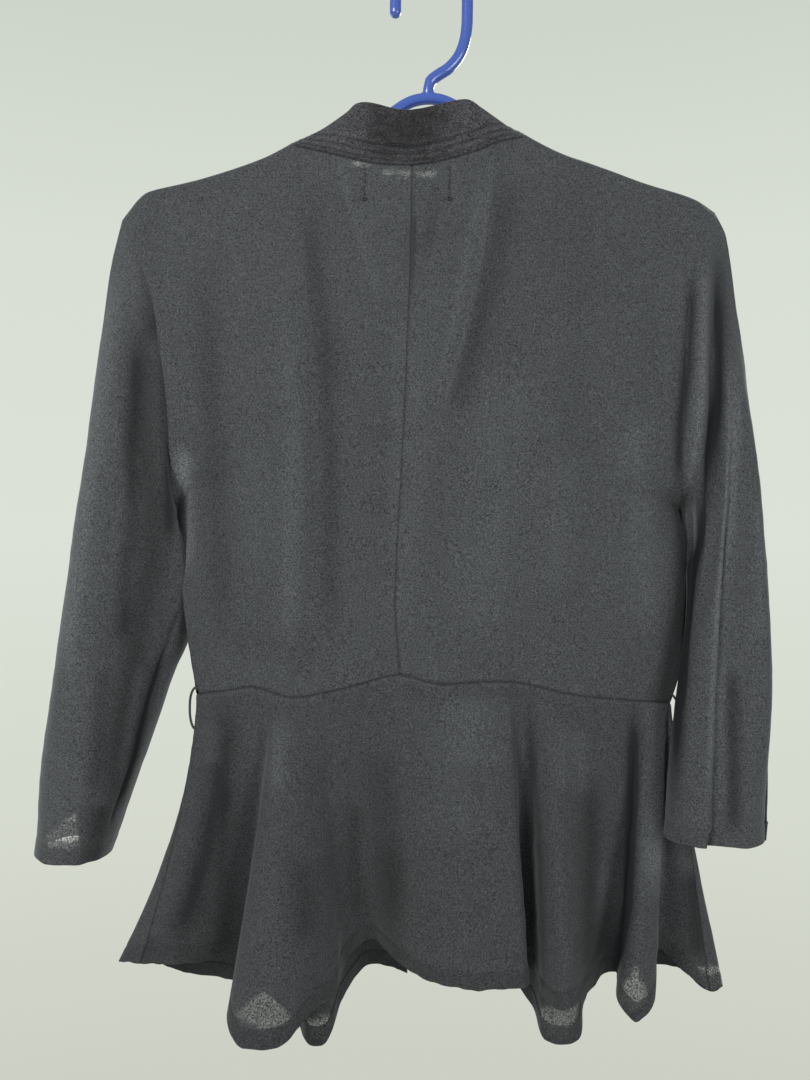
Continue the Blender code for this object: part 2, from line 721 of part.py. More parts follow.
def peplum_grid(flutes, waist):
    """Middle surface of a peplum piece, rows from the waist seam and columns along the hem."""
    starts = np.array([flute.waist_x for flute in flutes])
    hem_points = np.array([(flute.x, flute.y, flute.z) for flute in flutes])
    eases = np.array([flute.ease for flute in flutes])
    knots = shares(hem_points)
    hem_length = np.linalg.norm(np.diff(hem_points, axis=0), axis=1).sum()
    direction = np.sign(starts[-1] - starts[0])
    columns_x = waist[:, 0]
    if direction * (columns_x[-1] - columns_x[0]) < 0:
        waist = waist[::-1]
        columns_x = waist[:, 0]
    marks = np.interp(direction * columns_x, direction * starts, knots)
    apart = np.abs(knots[:, None] - marks[None, :]).min(axis=1) * hem_length
    marks = np.sort(np.concatenate([marks, knots[apart > PEPLUM_LEAST]]))
    places = [marks[0]]
    for before, after in zip(marks[:-1], marks[1:]):
        count = max(1, int(round((after - before) * hem_length / PEPLUM_STEP)))
        places.extend(before + (after - before) * np.arange(1, count + 1) / count)
    places = np.array(places)
    x = direction * np.interp(places, knots, direction * starts)
    top = polyline_by_x(waist, x)
    hem = hermite(knots, hem_points, places)
    ease = np.interp(places, knots, eases)
    rows = np.linspace(0.0, 1.0, PEPLUM_ROWS + 1)
    grid = np.empty((len(rows), len(places), 3))
    for i, t in enumerate(rows):
        plan = t ** ease
        grid[i, :, :2] = top[:, :2] + (hem[:, :2] - top[:, :2]) * plan[:, None]
        grid[i, :, 2] = top[:, 2] + (hem[:, 2] - top[:, 2]) * t
    return grid


def unit(vectors):
    """Vectors made one long."""
    return vectors / np.maximum(np.linalg.norm(vectors, axis=-1, keepdims=True), 1e-9)


def grid_normals(grid, closed):
    """Normal of a grid's surface at its points, from the corners that meet there."""
    right = np.roll(grid, -1, axis=1)
    corners = (grid[:-1], right[:-1], right[1:], grid[1:])
    total = np.zeros_like(grid)
    for k in range(4):
        here, after, before = corners[k], corners[(k + 1) % 4], corners[k - 1]
        one, two = unit(after - here), unit(before - here)
        angle = np.arccos(np.clip((one * two).sum(axis=2), -1.0, 1.0))
        part = unit(np.cross(one, two)) * angle[..., None]
        if not closed:
            part[:, -1] = 0.0
        if k in (1, 2):
            part = np.roll(part, 1, axis=1)
        if k < 2:
            total[:-1] += part
        else:
            total[1:] += part
    return total


def edge_places(shape, closed):
    """Row and column of each point on a grid's edges."""
    rows, columns = shape
    places = [(0, j) for j in range(columns)] + [(rows - 1, j) for j in range(columns)]
    if not closed:
        places += [(i, 0) for i in range(1, rows - 1)] + [(i, columns - 1) for i in range(1, rows - 1)]
    return places


def seam_key(point):
    """Name of a place on a seam, equal for the pieces that meet there."""
    return tuple(int(round(value * 10.0)) for value in point)


def share_normals(pieces):
    """Give the pieces that meet at a seam one offset there, so their walls meet evenly."""
    sums = {}
    for piece in pieces:
        for i, j in edge_places(piece["grid"].shape[:2], piece["closed"]):
            key = seam_key(piece["grid"][i, j])
            sums[key] = sums.get(key, 0.0) + piece["normals"][i, j]
    leans = {}
    for piece in pieces:
        piece["normals"] = unit(piece["normals"])
        for i, j in edge_places(piece["grid"].shape[:2], piece["closed"]):
            key = seam_key(piece["grid"][i, j])
            leans.setdefault(key, []).append(float(np.dot(piece["normals"][i, j], unit(sums[key]))))
    for piece in pieces:
        for i, j in edge_places(piece["grid"].shape[:2], piece["closed"]):
            key = seam_key(piece["grid"][i, j])
            piece["normals"][i, j] = unit(sums[key]) / max(LEAST_LEAN, float(np.mean(leans[key])))


def draw_in(grid, closed, gaps):
    """Move a piece's edges in by its share of the seam gap, gaps as top, low, first, last."""
    moved = grid.copy()

    def toward(points, inside, distance):
        step = inside - points
        return points + step / np.linalg.norm(step, axis=-1, keepdims=True) * distance

    moved[0] = toward(moved[0], grid[1], gaps[0])
    moved[-1] = toward(moved[-1], grid[-2], gaps[1])
    if not closed:
        moved[:, 0] = toward(moved[:, 0], moved[:, 1], gaps[2])
        moved[:, -1] = toward(moved[:, -1], moved[:, -2], gaps[3])
    return moved


def finish_material(name, finish):
    """Material of one sub-part from its finish."""
    material = bpy.data.materials.new(name)
    material.use_nodes = True
    shader = material.node_tree.nodes["Principled BSDF"]
    shader.inputs["Base Color"].default_value = (*finish.colour, 1.0)
    shader.inputs["Roughness"].default_value = finish.roughness
    shader.inputs["Metallic"].default_value = finish.metallic
    material.diffuse_color = (*finish.colour, 1.0)
    return material


def make_object(name, vertices, faces, finish, smooth=True):
    """Make one closed object from points in millimetres."""
    mesh = bpy.data.meshes.new(name)
    mesh.from_pydata([tuple(point * MM) for point in vertices], [], faces)
    work = bmesh.new()
    work.from_mesh(mesh)
    bmesh.ops.recalc_face_normals(work, faces=work.faces)
    work.to_mesh(mesh)
    work.free()
    mesh.materials.append(finish_material(name, finish))
    for polygon in mesh.polygons:
        polygon.use_smooth = smooth
    made = bpy.data.objects.new(name, mesh)
    bpy.context.scene.collection.objects.link(made)
    return made


def wall_object(piece):
    """Closed wall about a piece's middle surface."""
    grid = draw_in(piece["grid"], piece["closed"], piece["gaps"])
    rows, columns = grid.shape[:2]
    half = piece["normals"] * WALL / 2.0
    vertices = np.vstack([(grid + half).reshape(-1, 3), (grid - half).reshape(-1, 3)])
    count = rows * columns
    faces = []
    steps = columns if piece["closed"] else columns - 1
    for i in range(rows - 1):
        for j in range(steps):
            k = (j + 1) % columns
            a, b, c, d = i * columns + j, i * columns + k, (i + 1) * columns + k, (i + 1) * columns + j
            faces.append((a, b, c, d))
            faces.append((d + count, c + count, b + count, a + count))
    for j in range(steps):
        k = (j + 1) % columns
        low = (rows - 1) * columns
        faces.append((k, j, j + count, k + count))
        faces.append((low + j, low + k, low + k + count, low + j + count))
    if not piece["closed"]:
        for i in range(rows - 1):
            a, b = i * columns, (i + 1) * columns
            faces.append((a, b, b + count, a + count))
            a, b = a + columns - 1, b + columns - 1
            faces.append((b, a, a + count, b + count))
    return make_object(piece["name"], vertices, split_short(vertices, faces), piece["finish"])


def split_short(vertices, quads):
    """Cut each four-sided face along its shorter diagonal."""
    triangles = []
    for a, b, c, d in quads:
        across = np.linalg.norm(vertices[a] - vertices[c])
        other = np.linalg.norm(vertices[b] - vertices[d])
        if across < other:
            triangles.extend([(a, b, c), (a, c, d)])
        else:
            triangles.extend([(a, b, d), (b, c, d)])
    return triangles


def tube(name, path, radius, sides, finish, closed=False):
    """Round rod along a path that lies in an upright plane facing y."""
    path = np.asarray(path, float)
    if closed:
        ahead = np.roll(path, -1, axis=0) - np.roll(path, 1, axis=0)
    else:
        ahead = np.gradient(path, axis=0)
    ahead /= np.linalg.norm(ahead, axis=1, keepdims=True)
    forward = np.array([0.0, 1.0, 0.0])
    beside = np.cross(ahead, forward)
    beside /= np.linalg.norm(beside, axis=1, keepdims=True)
    rings = []
    for point, side in zip(path, beside):
        for k in range(sides):
            turn = 2.0 * math.pi * (k + 0.5) / sides
            rings.append(point + radius * (math.cos(turn) * side + math.sin(turn) * forward))
    faces = []
    last = len(path) if closed else len(path) - 1
    for i in range(last):
        a, b = i * sides, ((i + 1) % len(path)) * sides
        for k in range(sides):
            m = (k + 1) % sides
            faces.append((a + k, a + m, b + m, b + k))
    if not closed:
        faces.append(tuple(range(sides)))
        faces.append(tuple(reversed(range((len(path) - 1) * sides, len(path) * sides))))
    return make_object(name, np.array(rings), faces, finish)


def spaced(rows, step):
    """Points about a step apart on the smooth curve through a table's stations."""
    points = array(rows)
    length = np.linalg.norm(np.diff(points, axis=0), axis=1).sum()
    return along(rows, np.linspace(0.0, 1.0, max(2, int(round(length / step)) + 1)))


def hook_path():
    """Centreline of the hook from its tip over the top and down to the arch."""
    centre_z = ROD / 2.0 - HOOK_RADIUS
    turns = np.linspace(0.0, math.pi, HOOK_ARC_POINTS)
    arc = np.column_stack([
        HOOK_RADIUS * np.cos(turns), np.zeros(len(turns)), centre_z + HOOK_RADIUS * np.sin(turns)
    ])
    tip = np.array([[HOOK_RADIUS, 0.0, HOOK_TIP_Z]])
    return np.vstack([tip, arc, spaced(HOOK_FOOT, HOOK_STEP)])


def arm_points(side):
    """Centreline of one arm, a rod's drop below the shoulder seam."""
    seam = array(SHOULDER[side])[:ARM_STATIONS[side]]
    seam[:, 2] -= ARM_DROP
    seam[0, 2] -= NECK_DROP
    return [Point(*point) for point in seam]


def frame_path():
    """Centreline of the hanger's frame, once round from the left end of its bar."""
    left, right = arm_points("left"), arm_points("right")
    top = right[::-1] + list(ARCH) + left
    run = [*CORNER["right"][::-1], *top, *CORNER["left"]]
    shape = spaced(run, FRAME_STEP)
    bar_x = np.linspace(CORNER["left"][-1].x - BAR_INSET, CORNER["right"][-1].x + BAR_INSET, BAR_POINTS)
    bar = np.column_stack([bar_x, np.zeros(len(bar_x)), np.full(len(bar_x), BAR_Z)])
    return np.vstack([shape, bar])


def make_hanger():
    """Hanger in one body: the hook's foot joined into the frame's arch."""
    hook = tube("hanger", hook_path(), ROD / 2.0, ROD_SIDES, PLASTIC)
    frame = tube("hanger_frame", frame_path(), ROD / 2.0, ROD_SIDES, PLASTIC, closed=True)
    join = frame.modifiers.new("join", "BOOLEAN")
    join.operation = "UNION"
    join.solver = "EXACT"
    join.object = hook
    bpy.context.view_layer.update()
    whole = bpy.data.meshes.new_from_object(frame.evaluated_get(bpy.context.evaluated_depsgraph_get()))
    bpy.data.objects.remove(hook)
    bpy.data.objects.remove(frame)
    whole.name = "hanger"
    whole.materials.clear()
    whole.materials.append(finish_material("hanger", PLASTIC))
    made = bpy.data.objects.new("hanger", whole)
    bpy.context.scene.collection.objects.link(made)
    return made


def cloth_pieces():
    """Middle surfaces and seam gaps of all cut pieces."""
    half = SEAM_GAP / 2.0
    wide = WIDE_GAP / 2.0
    pieces = []

    def add(name, grid, gaps, finish=CLOTH, closed=False, flip=False):
        normals = grid_normals(grid, closed) * (-1.0 if flip else 1.0)
        pieces.append({
            "name": name, "grid": grid, "normals": normals, "gaps": gaps,
            "finish": finish, "closed": closed,
        })

    panel_gaps = (half, wide, half, half)
    backs = {side: back_grid(side) for side in ("left", "right")}
    fronts = {side: front_grid(side) for side in ("left", "right")}
    band = band_grid()
    add("back_left", backs["left"], panel_gaps, flip=True)
    add("back_right", backs["right"], panel_gaps)
    add("front_left", fronts["left"], panel_gaps)
    add("front_right", fronts["right"], panel_gaps, flip=True)
    add("collar_band", band, (half, 0.0, wide, wide), finish=BAND_CLOTH, flip=True)
    add("sleeve_left", sleeve_grid("left"), (wide, 0.0, 0.0, 0.0), closed=True)
    add("sleeve_right", sleeve_grid("right"), (wide, 0.0, 0.0, 0.0), closed=True, flip=True)
    back_waist = np.vstack([backs["left"][-1][::-1], backs["right"][-1][1:]])
    add("peplum_back", peplum_grid(PEPLUM_BACK, back_waist), (wide, 0.0, half, half))
    left_waist = np.vstack([fronts["left"][-1][::-1], band[:, 0][1:]])
    right_waist = np.vstack([fronts["right"][-1][::-1], band[:, -1][1:]])
    front_gaps = (wide, 0.0, half, 0.0)
    add("peplum_front_left", peplum_grid(PEPLUM_FRONT["left"], left_waist), front_gaps, flip=True)
    add("peplum_front_right", peplum_grid(PEPLUM_FRONT["right"], right_waist), front_gaps)
    return pieces


def main():
    """Build the jacket and its hanger."""
    for old in list(bpy.data.objects):
        bpy.data.objects.remove(old)
    pieces = cloth_pieces()
    share_normals(pieces)
    for piece in pieces:
        wall_object(piece)
    for side in ("left", "right"):
        tube(f"belt_loop_{side}", spaced(LOOPS[side], 3.5), LOOP_CORD / 2.0, LOOP_SIDES, THREAD)
    make_hanger()


main()
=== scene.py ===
"""Dresses a peplum jacket of thin black crepe that hangs open on a blue tube hanger.

The front of the jacket faces -Y, its back faces +Y and its top is +Z, so the wearer's
left is +X.  Tables hold millimetres in the frame of the part.  Meshes are made in metres.
"""
import logging
import math
from dataclasses import dataclass, field
from enum import Enum
from typing import Any, Iterable, NamedTuple, Sequence

import bmesh
import bpy
import numpy as np
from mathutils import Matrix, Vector


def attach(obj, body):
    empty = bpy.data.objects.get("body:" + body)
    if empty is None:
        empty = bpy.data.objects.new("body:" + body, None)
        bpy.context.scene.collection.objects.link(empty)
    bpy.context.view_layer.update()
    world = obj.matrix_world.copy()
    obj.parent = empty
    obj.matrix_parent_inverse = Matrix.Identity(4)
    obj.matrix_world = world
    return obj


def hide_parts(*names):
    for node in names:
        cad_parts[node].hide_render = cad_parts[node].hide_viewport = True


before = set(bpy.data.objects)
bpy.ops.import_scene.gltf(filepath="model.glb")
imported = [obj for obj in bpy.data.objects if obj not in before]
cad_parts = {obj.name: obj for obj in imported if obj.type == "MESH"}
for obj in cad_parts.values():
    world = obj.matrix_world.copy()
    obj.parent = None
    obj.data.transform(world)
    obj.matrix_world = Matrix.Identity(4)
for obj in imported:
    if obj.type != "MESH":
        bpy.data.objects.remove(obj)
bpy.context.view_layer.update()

LOG = logging.getLogger("peplum_jacket")
MM = 0.001
BODY = "root"
Array = np.ndarray
Colour = tuple[float, float, float]


class Side(Enum):
    """Side of the wearer."""

    LEFT = "left"
    RIGHT = "right"


class EdgeKind(Enum):
    """What a maker did with one edge of a cut piece."""

    SEAM = "sewn to its neighbour, with the allowance turned inside"
    HEM = "folded back on the inside"
    RAW = "left as it is"


class Point(NamedTuple):
    """Station of a seam, edge or centreline."""

    x: float
    y: float
    z: float


class Depth(NamedTuple):
    """How far the cloth stands out at one height."""

    z: float
    y: float


class Fold(NamedTuple):
    """Soft upright fold of the bodice: a ridge stands out and a trough goes in."""

    x_top: float
    x_low: float
    z_top: float
    z_low: float
    out: float
    half_width: float


class SleeveDepth(NamedTuple):
    """Half depth of a sleeve toward the back and the front, at a share of its length."""

    share: float
    back: float
    front: float


class SleeveFold(NamedTuple):
    """Fold of a sleeve by its turn about the arm: 0 outer fold, 1 or -1 inner fold."""

    turn_top: float
    turn_low: float
    start: float
    end: float
    out: float
    half_width: float


class Flute(NamedTuple):
    """Ridge or valley of the peplum: where it starts at the waist and ends at the hem."""

    waist_x: float
    x: float
    y: float
    z: float
    ease: float


class Crease(NamedTuple):
    """Crease seen from behind or from the front: its line, rise, half width and bow."""

    x_top: float
    z_top: float
    x_low: float
    z_low: float
    out: float
    half_width: float
    bow: float


class Patch(NamedTuple):
    """Oval place on a piece, seen from behind, with its half sizes."""

    x: float
    z: float
    half_x: float
    half_z: float


class LightPlace(NamedTuple):
    """Place where light comes through: how open it lies, and its corners from behind."""

    share: float
    corners: tuple[tuple[float, float], ...]


class Line(NamedTuple):
    """Fine line on the cloth: its points from behind, half width, rise and change of tone."""

    points: tuple[tuple[float, float], ...]
    half_width: float
    out: float
    tone: float


class Ripple(NamedTuple):
    """One of the slow waves that keep hung cloth from lying even."""

    length_x: float
    length_z: float
    shift: float
    out: float


class Edge(NamedTuple):
    """Finish of one edge of a piece and the depth of its hem."""

    kind: EdgeKind
    depth: float = 0.0


def rows_of(kind: type, rows: Iterable[Sequence[Any]]) -> tuple:
    """Rows of numbers as named rows of one kind."""
    return tuple(kind(*row) for row in rows)


def both_sides(kind: type, left: Iterable[Sequence[Any]],
               right: Iterable[Sequence[Any]]) -> dict[Side, tuple]:
    """Named rows for the wearer's left and right side."""
    return {Side.LEFT: rows_of(kind, left), Side.RIGHT: rows_of(kind, right)}


SEAM = Edge(EdgeKind.SEAM)
RAW = Edge(EdgeKind.RAW)
# Depths of the cloth turned inside at a seam, and its tone, darkened as painted shade inside the
# seam
SEAM_TURN_DEPTHS = (0.7, 1.7)
INSIDE_TONE = 0.6
# Edges of a sheet that run across it
ACROSS = ("top", "low")
# Place of the camera, from where marks on the back are laid out
EYE = Point(18.55, 700.0, -396.9)

# Seam stations of each side, from the centre back outward or from the top down
CENTRE_BACK = rows_of(Point, (
    (13.8, 16, -140.6), (15.2, 28, -211), (17.2, 32, -267), (19.2, 32, -315), (25, 28, -437),
    (22, 27, -487.5),
))
NECK = both_sides(Point, (
    (13.8, 16, -140.6), (39.4, 15.5, -138.9), (66.6, 12.5, -131.8), (82, 9.5, -127.2),
    (93.5, 5.8, -123.4), (96.7, 0, -119.6),
), (
    (13.8, 16, -140.6), (-3.4, 15.5, -137.9), (-30.7, 12.5, -129.2), (-47, 9.5, -121.5),
    (-61.5, 5.8, -117.3), (-65.2, 0, -113.7),
))
SHOULDER = both_sides(Point, (
    (96.7, 0, -119.6), (120, 0, -130.9), (162.1, 0, -144.9), (197.1, 0, -153.3),
    (206.5, 0, -160.5), (216.5, 0, -173),
), (
    (-65.2, 0, -113.7), (-90.4, 0, -126.7), (-116.2, 0, -135.5), (-151.5, 0, -148.4),
    (-185, 0, -159), (-198.2, 0, -167.7),
))
ARMHOLE = both_sides(Point, (
    (216.5, 0, -173), (208.3, 10, -189.9), (192, 19, -229.6), (184.7, 22, -270.1),
    (180.6, 22, -302), (178.8, 20.5, -335), (178.6, 14.5, -358), (178.8, 0, -371),
), (
    (-198.2, 0, -167.7), (-188.4, 10, -183.6), (-180.5, 17, -207.4), (-173.2, 21, -245.9),
    (-171.2, 22.5, -310), (-170.3, 20.5, -338), (-171, 14.5, -362), (-172.8, 0, -375),
))
SIDE_SEAM = both_sides(Point, (
    (178.8, 0, -371), (177.5, 0, -405), (174.6, 0, -438.7), (170.7, 0, -468.8), (164.8, 0, -504.7),
), (
    (-172.8, 0, -375), (-179.8, -1, -398), (-183.4, -2, -425), (-182.6, -2, -452),
    (-177, -1, -482), (-167.6, 0, -511),
))
BAND_SEAM = both_sides(Point, (
    (96.7, 0, -119.6), (96.4, -6.3, -125.5), (94, -11, -145), (69.6, -25, -211), (54, -34, -255),
    (53.5, -37, -310), (55, -35, -410), (56, -29, -499),
), (
    (-65.2, 0, -113.7), (-66.5, -6.3, -119.6), (-72, -11, -140), (-60.4, -22, -207),
    (-49, -31, -280), (-36, -35, -330), (-21, -35, -410), (-11, -29, -499),
))
BAND_EDGE_FRONT = both_sides(Point, (
    (76, -1.5, -109.5), (73.5, -8, -119), (68, -11, -134), (41.6, -22, -200), (24.5, -33, -238),
    (23.5, -38, -300), (26, -36, -405), (27, -30, -499),
), (
    (-52, -1.5, -106.5), (-49, -8, -117), (-45.5, -11, -134), (-33, -18, -202), (-21.5, -29, -275),
    (-8, -35, -322), (8, -36, -405), (18, -30, -499),
))
BAND_EDGE_BACK = both_sides(Point, (
    (16.1, 8.5, -100), (26, 8.5, -98.9), (43.3, 7.5, -94.3), (52.1, 6, -94.4), (58.4, 4.5, -99.6),
    (76, -1.5, -109.5),
), (
    (16.1, 8.5, -100), (6.2, 8.5, -98.6), (-18.7, 7.5, -92.5), (-26.3, 6.5, -92.1),
    (-34, 4.5, -96.4), (-52, -1.5, -106.5),
))
WAIST_BACK = rows_of(Point, (
    (164.8, 0, -504.7), (143.1, 13, -500.4), (121.9, 20, -496.8), (94.3, 24.5, -503),
    (59.2, 27, -496.6), (22, 27, -487.5), (-1.6, 28, -493.3), (-52.6, 26, -492.5),
    (-97.4, 22, -502), (-146.6, 12.5, -507.7), (-167.6, 0, -511),
))
WAIST_FRONT = rows_of(Point, (
    (164.8, 0, -504.7), (145, -13, -503.5), (110, -22.5, -502), (56, -29, -499), (22, -30, -499),
    (-11, -29, -499), (-90, -24, -503), (-145, -13, -509), (-167.6, 0, -511),
))

# How far the cloth stands out along the middle of the back and of each front
BACK_DEPTH = rows_of(Depth, (
    (-115, 14), (-170, 22), (-230, 29), (-310, 32), (-437, 29), (-511, 27),
))
FRONT_DEPTH = rows_of(Depth, (
    (-115, -14), (-170, -22), (-240, -32), (-310, -37), (-437, -34), (-511, -29),
))

# Soft upright folds of the bodice: a ridge stands out and a trough goes in
BACK_FOLDS = rows_of(Fold, (
    (104, 98, -235, -482, 3.2, 13), (80, 72, -215, -450, -3.2, 13),
    (-20, -24, -200, -480, 2.6, 16), (-62, -60, -220, -488, -3.2, 12),
    (-84, -80, -230, -490, 2.6, 11), (-110, -104, -240, -480, -2.2, 11),
    (-136, -128, -230, -500, 2.8, 13), (140, 132, -230, -495, -2.4, 14),
))
FRONT_FOLDS = rows_of(Fold, (
    (110, 100, -230, -480, -3, 15), (140, 128, -240, -490, 2.4, 13),
    (-100, -90, -230, -480, -3, 15), (-132, -124, -240, -490, 2.4, 13),
))

# Outer and inner fold of each sleeve from the shoulder tip and underarm to the cuff
SLEEVE_OUTER = both_sides(Point, (
    (216.5, 0, -173), (224.3, 0, -206.5), (230.7, 0, -247.8), (247.1, -2, -367.4),
    (264, -6, -479.5), (275, -9, -561.4), (278.5, -10, -614.9),
), (
    (-198.2, 0, -167.7), (-207, 0, -186), (-214.2, 2, -245.4), (-227, 10, -367.9),
    (-232, 17, -483), (-228, 21, -550), (-225.3, 24, -599.7),
))
SLEEVE_INNER = both_sides(Point, (
    (178.8, 0, -371), (180.6, -3, -374), (177.6, -8.5, -386), (173.6, -14.5, -402),
    (171.4, -18.5, -427), (171.6, -22.5, -458), (185, -17, -494), (206.3, -12, -559.1),
    (227.3, -10, -617.5),
), (
    (-172.8, 0, -375), (-177.3, 0.2, -374.2), (-180, 3.5, -380.5), (-179.8, 11, -396),
    (-177.5, 18, -428), (-168, 20, -490.3), (-161.4, 21, -534.9), (-156.5, 24, -596.3),
))
# Half depth of each sleeve toward the back and the front, at shares of its length
SLEEVE_DEPTH = both_sides(SleeveDepth, (
    (0, 22, 21), (0.4, 25, 22), (1, 36, 34),
), (
    (0, 22, 21), (0.4, 24, 19), (1, 27, 17),
))
# Sleeve folds: turn runs from 0 at the outer fold to 1 at the inner fold over the back,
# and to -1 over the front
SLEEVE_FOLDS = both_sides(SleeveFold, (
    (0.46, 0.52, 0.05, 0.75, -5, 0.13), (0.22, 0.28, 0.1, 0.95, 2.5, 0.13),
    (-0.45, -0.5, 0.1, 0.9, -3.5, 0.14),
), (
    (0.2, 0.88, 0.02, 0.5, -5, 0.12), (0.1, 0.3, 0.12, 1, 4.5, 0.12),
    (-0.45, -0.5, 0.1, 0.9, -2.5, 0.14),
))

# Flutes: where each ridge and valley starts on the waist seam and where it ends at the hem
PEPLUM_BACK = rows_of(Flute, (
    # Left side seam, ridge beside it and slope to the first valley
    (164.8, 203, 4, -691.6, 1.5), (150, 180, 14, -688, 1.3), (133, 155, 2, -690, 1.15),
    # First valley
    (115, 140.5, -9, -685, 1.1), (110.5, 132, -12, -687, 1.1),
    # First flute
    (106, 136, 40, -711, 1.15), (103, 126, 58, -720.5, 1.12), (99, 109.5, 65, -721.5, 1.1),
    (95, 95, 60, -719, 1.07), (90, 81, 46, -706, 1.05), (84, 65, 25, -702, 1),
    # Second valley
    (73, 59, 4, -688, 1), (54, 42, -9, -679, 1.2), (33, 22, 10, -689.5, 1.2),
    # Centre panel
    (0, -12, 27, -697.7, 1.1), (-30, -38.5, 30, -697.5, 1), (-50, -63.5, 29, -695.7, 1),
    # Deep valley
    (-57, -65, -8, -701, 1), (-64, -73, -9, -703, 1),
    # Second flute
    (-70.5, -75, 22, -707, 1), (-80, -87, 42, -706, 1), (-100, -106, 20, -705, 1),
    # Third valley
    (-133, -123, -9, -704, 1.5), (-137.5, -131.5, -10, -704, 1.5),
    # Third flute
    (-141, -124, 30, -706.2, 1.5), (-151, -132, 46, -711.5, 1.4), (-163, -147, 35, -704, 1.3),
    # Fourth valley, ridge beside the right side seam and the seam
    (-165.8, -160, -8, -685, 0.9), (-166.8, -180, -1, -701.4, 0.95), (-167.6, -197, -6, -715, 1),
))
PEPLUM_FRONT = both_sides(Flute, (
    # Side seam, ridge beside it, slope and outer panel
    (164.8, 203, 4, -691.6, 1.5), (161, 222, -11, -696.5, 1.6), (150, 205, -31, -704, 1.4),
    (136, 178, -44, -719.5, 1.2),
    # Front flute
    (122, 158, -59, -729, 1.1), (108, 128, -62, -739, 1.1),
    # Front valley, from its outer wall to its inner wall
    (96, 98, -36, -751, 1.1), (87, 88, -17, -757.5, 1.1), (79, 75, -18, -756.5, 1.1),
    (70, 66, -38, -738, 1.1),
    # Front panel
    (57, 50, -66, -723, 1.1), (44, 34, -71, -724, 1.1), (27, 17, -66, -728, 1.1),
), (
    # Side seam, ridge beside it, slope and outer panel
    (-167.6, -197, -6, -715, 1), (-164, -209, -16, -716.5, 1), (-153, -203, -32, -727, 1),
    (-141, -182, -42, -713, 1.05),
    # Front flute
    (-123, -154, -62, -722, 1.1), (-110, -130, -60, -728, 1.1),
    # Front valley, from its outer wall to its inner wall
    (-100, -113, -38, -738, 1.1), (-91.5, -105.5, -16, -755, 1.1), (-82, -83, -15, -755, 1.1),
    (-73, -74.5, -36, -738, 1.1),
    # Front panel
    (-52, -52, -64, -724, 1.1), (-16, -22, -72, -725, 1.1), (18, 6, -62, -727, 1.1),
))

# Centreline of the hanger's rod, from the hook's tip to the post, then once round its frame
HOOK_FOOT = rows_of(Point, (
    (-25.2, 0, -33), (-23.4, 0, -47), (-19.2, 0, -58.1), (-12.2, 0, -66.5), (-4.5, 0, -71.6),
    (0.8, 0, -76), (2.2, 0, -82), (2.2, 0, -88),
))
HOOK_TIP_Z = -31.5
ARCH = rows_of(Point, (
    (-53, 0, -120), (-40, 0, -110.5), (-16.5, 0, -93.2), (-4, 0, -88.2), (7, 0, -88.2),
    (17.5, 0, -91.5), (40, 0, -107), (82, 0, -127),
))
ARM_DROP = 6.4
NECK_DROP = 3.6
ARM_STATIONS = {Side.LEFT: 3, Side.RIGHT: 5}
BAR_Z = -184.0
CORNER = both_sides(Point, (
    (192, 0, -158.8), (200, 0, -165.5), (201, 0, -174.5), (196, 0, -181.8),
), (
    (-190, 0, -170), (-191, 0, -177), (-187, 0, -182),
))

# Thread loops that hold a belt, from the waist seam down on to the peplum
LOOPS = both_sides(Point, (
    (168.2, 0, -500.6), (170.6, 0, -505.5), (171.4, 0, -514), (170.8, 0, -522.5),
    (168.6, 0, -528.5),
), (
    (-170.6, 0, -505), (-174.5, 0, -511), (-176.4, 0, -519), (-175.2, 0, -527),
    (-172.8, 0, -533.5),
))


# Creases, patches and slow waves that only the dressed cloth has
BACK_CREASES = rows_of(Crease, (
    (67, -136, 50, -204, 0.55, 4.5, 1), (59, -140, 44, -200, -0.35, 5, 1),
    (-44, -136, -8, -306, 0.6, 5.5, 4), (-52, -150, -18, -316, -0.4, 6, 4),
    (100, -232, 95, -470, 0.7, 8, -2), (86, -240, 76, -440, -0.6, 6, 2),
    (60, -232, 52, -215, 0.35, 4, 0), (46, -214, 24, -236, 0.35, 4.5, 2),
    (128, -280, 118, -486, -0.55, 7, -3), (152, -250, 147, -480, 0.55, 7, 2),
    (195, -188, 168, -262, 0.55, 7, 3), (-174, -186, -158, -262, 0.55, 7, -3),
    (-70, -330, -66, -486, -0.55, 6, 1.5), (-92, -300, -88, -480, 0.5, 6, -2),
    (-36, -360, -42, -486, -0.4, 7, 2), (-128, -320, -120, -496, 0.5, 6, 2),
    (118, -470, 112, -500, 0.55, 4, 0), (82, -476, 80, -500, -0.5, 3.5, 0),
    (58, -468, 55, -496, 0.45, 3.5, 0), (36, -470, 31, -490, -0.4, 3.5, 0),
    (-20, -474, -20, -492, 0.35, 4, 0), (140, -388, 168, -352, 0.45, 5, 3),
    (-140, -390, -162, -352, 0.45, 5, -3),
))
FRONT_CREASES = rows_of(Crease, (
    (120, -180, 98, -330, -0.65, 7, 4), (150, -210, 136, -400, 0.65, 7, -3),
    (84, -250, 78, -470, 0.55, 8, 3), (168, -300, 118, -352, 0.7, 6, -4),
    (112, -380, 104, -494, -0.6, 6, 2), (140, -420, 136, -498, 0.5, 6, 1),
    (-96, -180, -84, -330, -0.65, 7, -4), (-140, -210, -128, -400, 0.65, 7, 3),
    (-66, -260, -52, -470, 0.55, 8, -3), (-162, -300, -110, -352, 0.7, 6, 4),
    (-108, -380, -98, -496, -0.6, 6, -2), (-138, -420, -134, -500, 0.5, 6, -1),
))
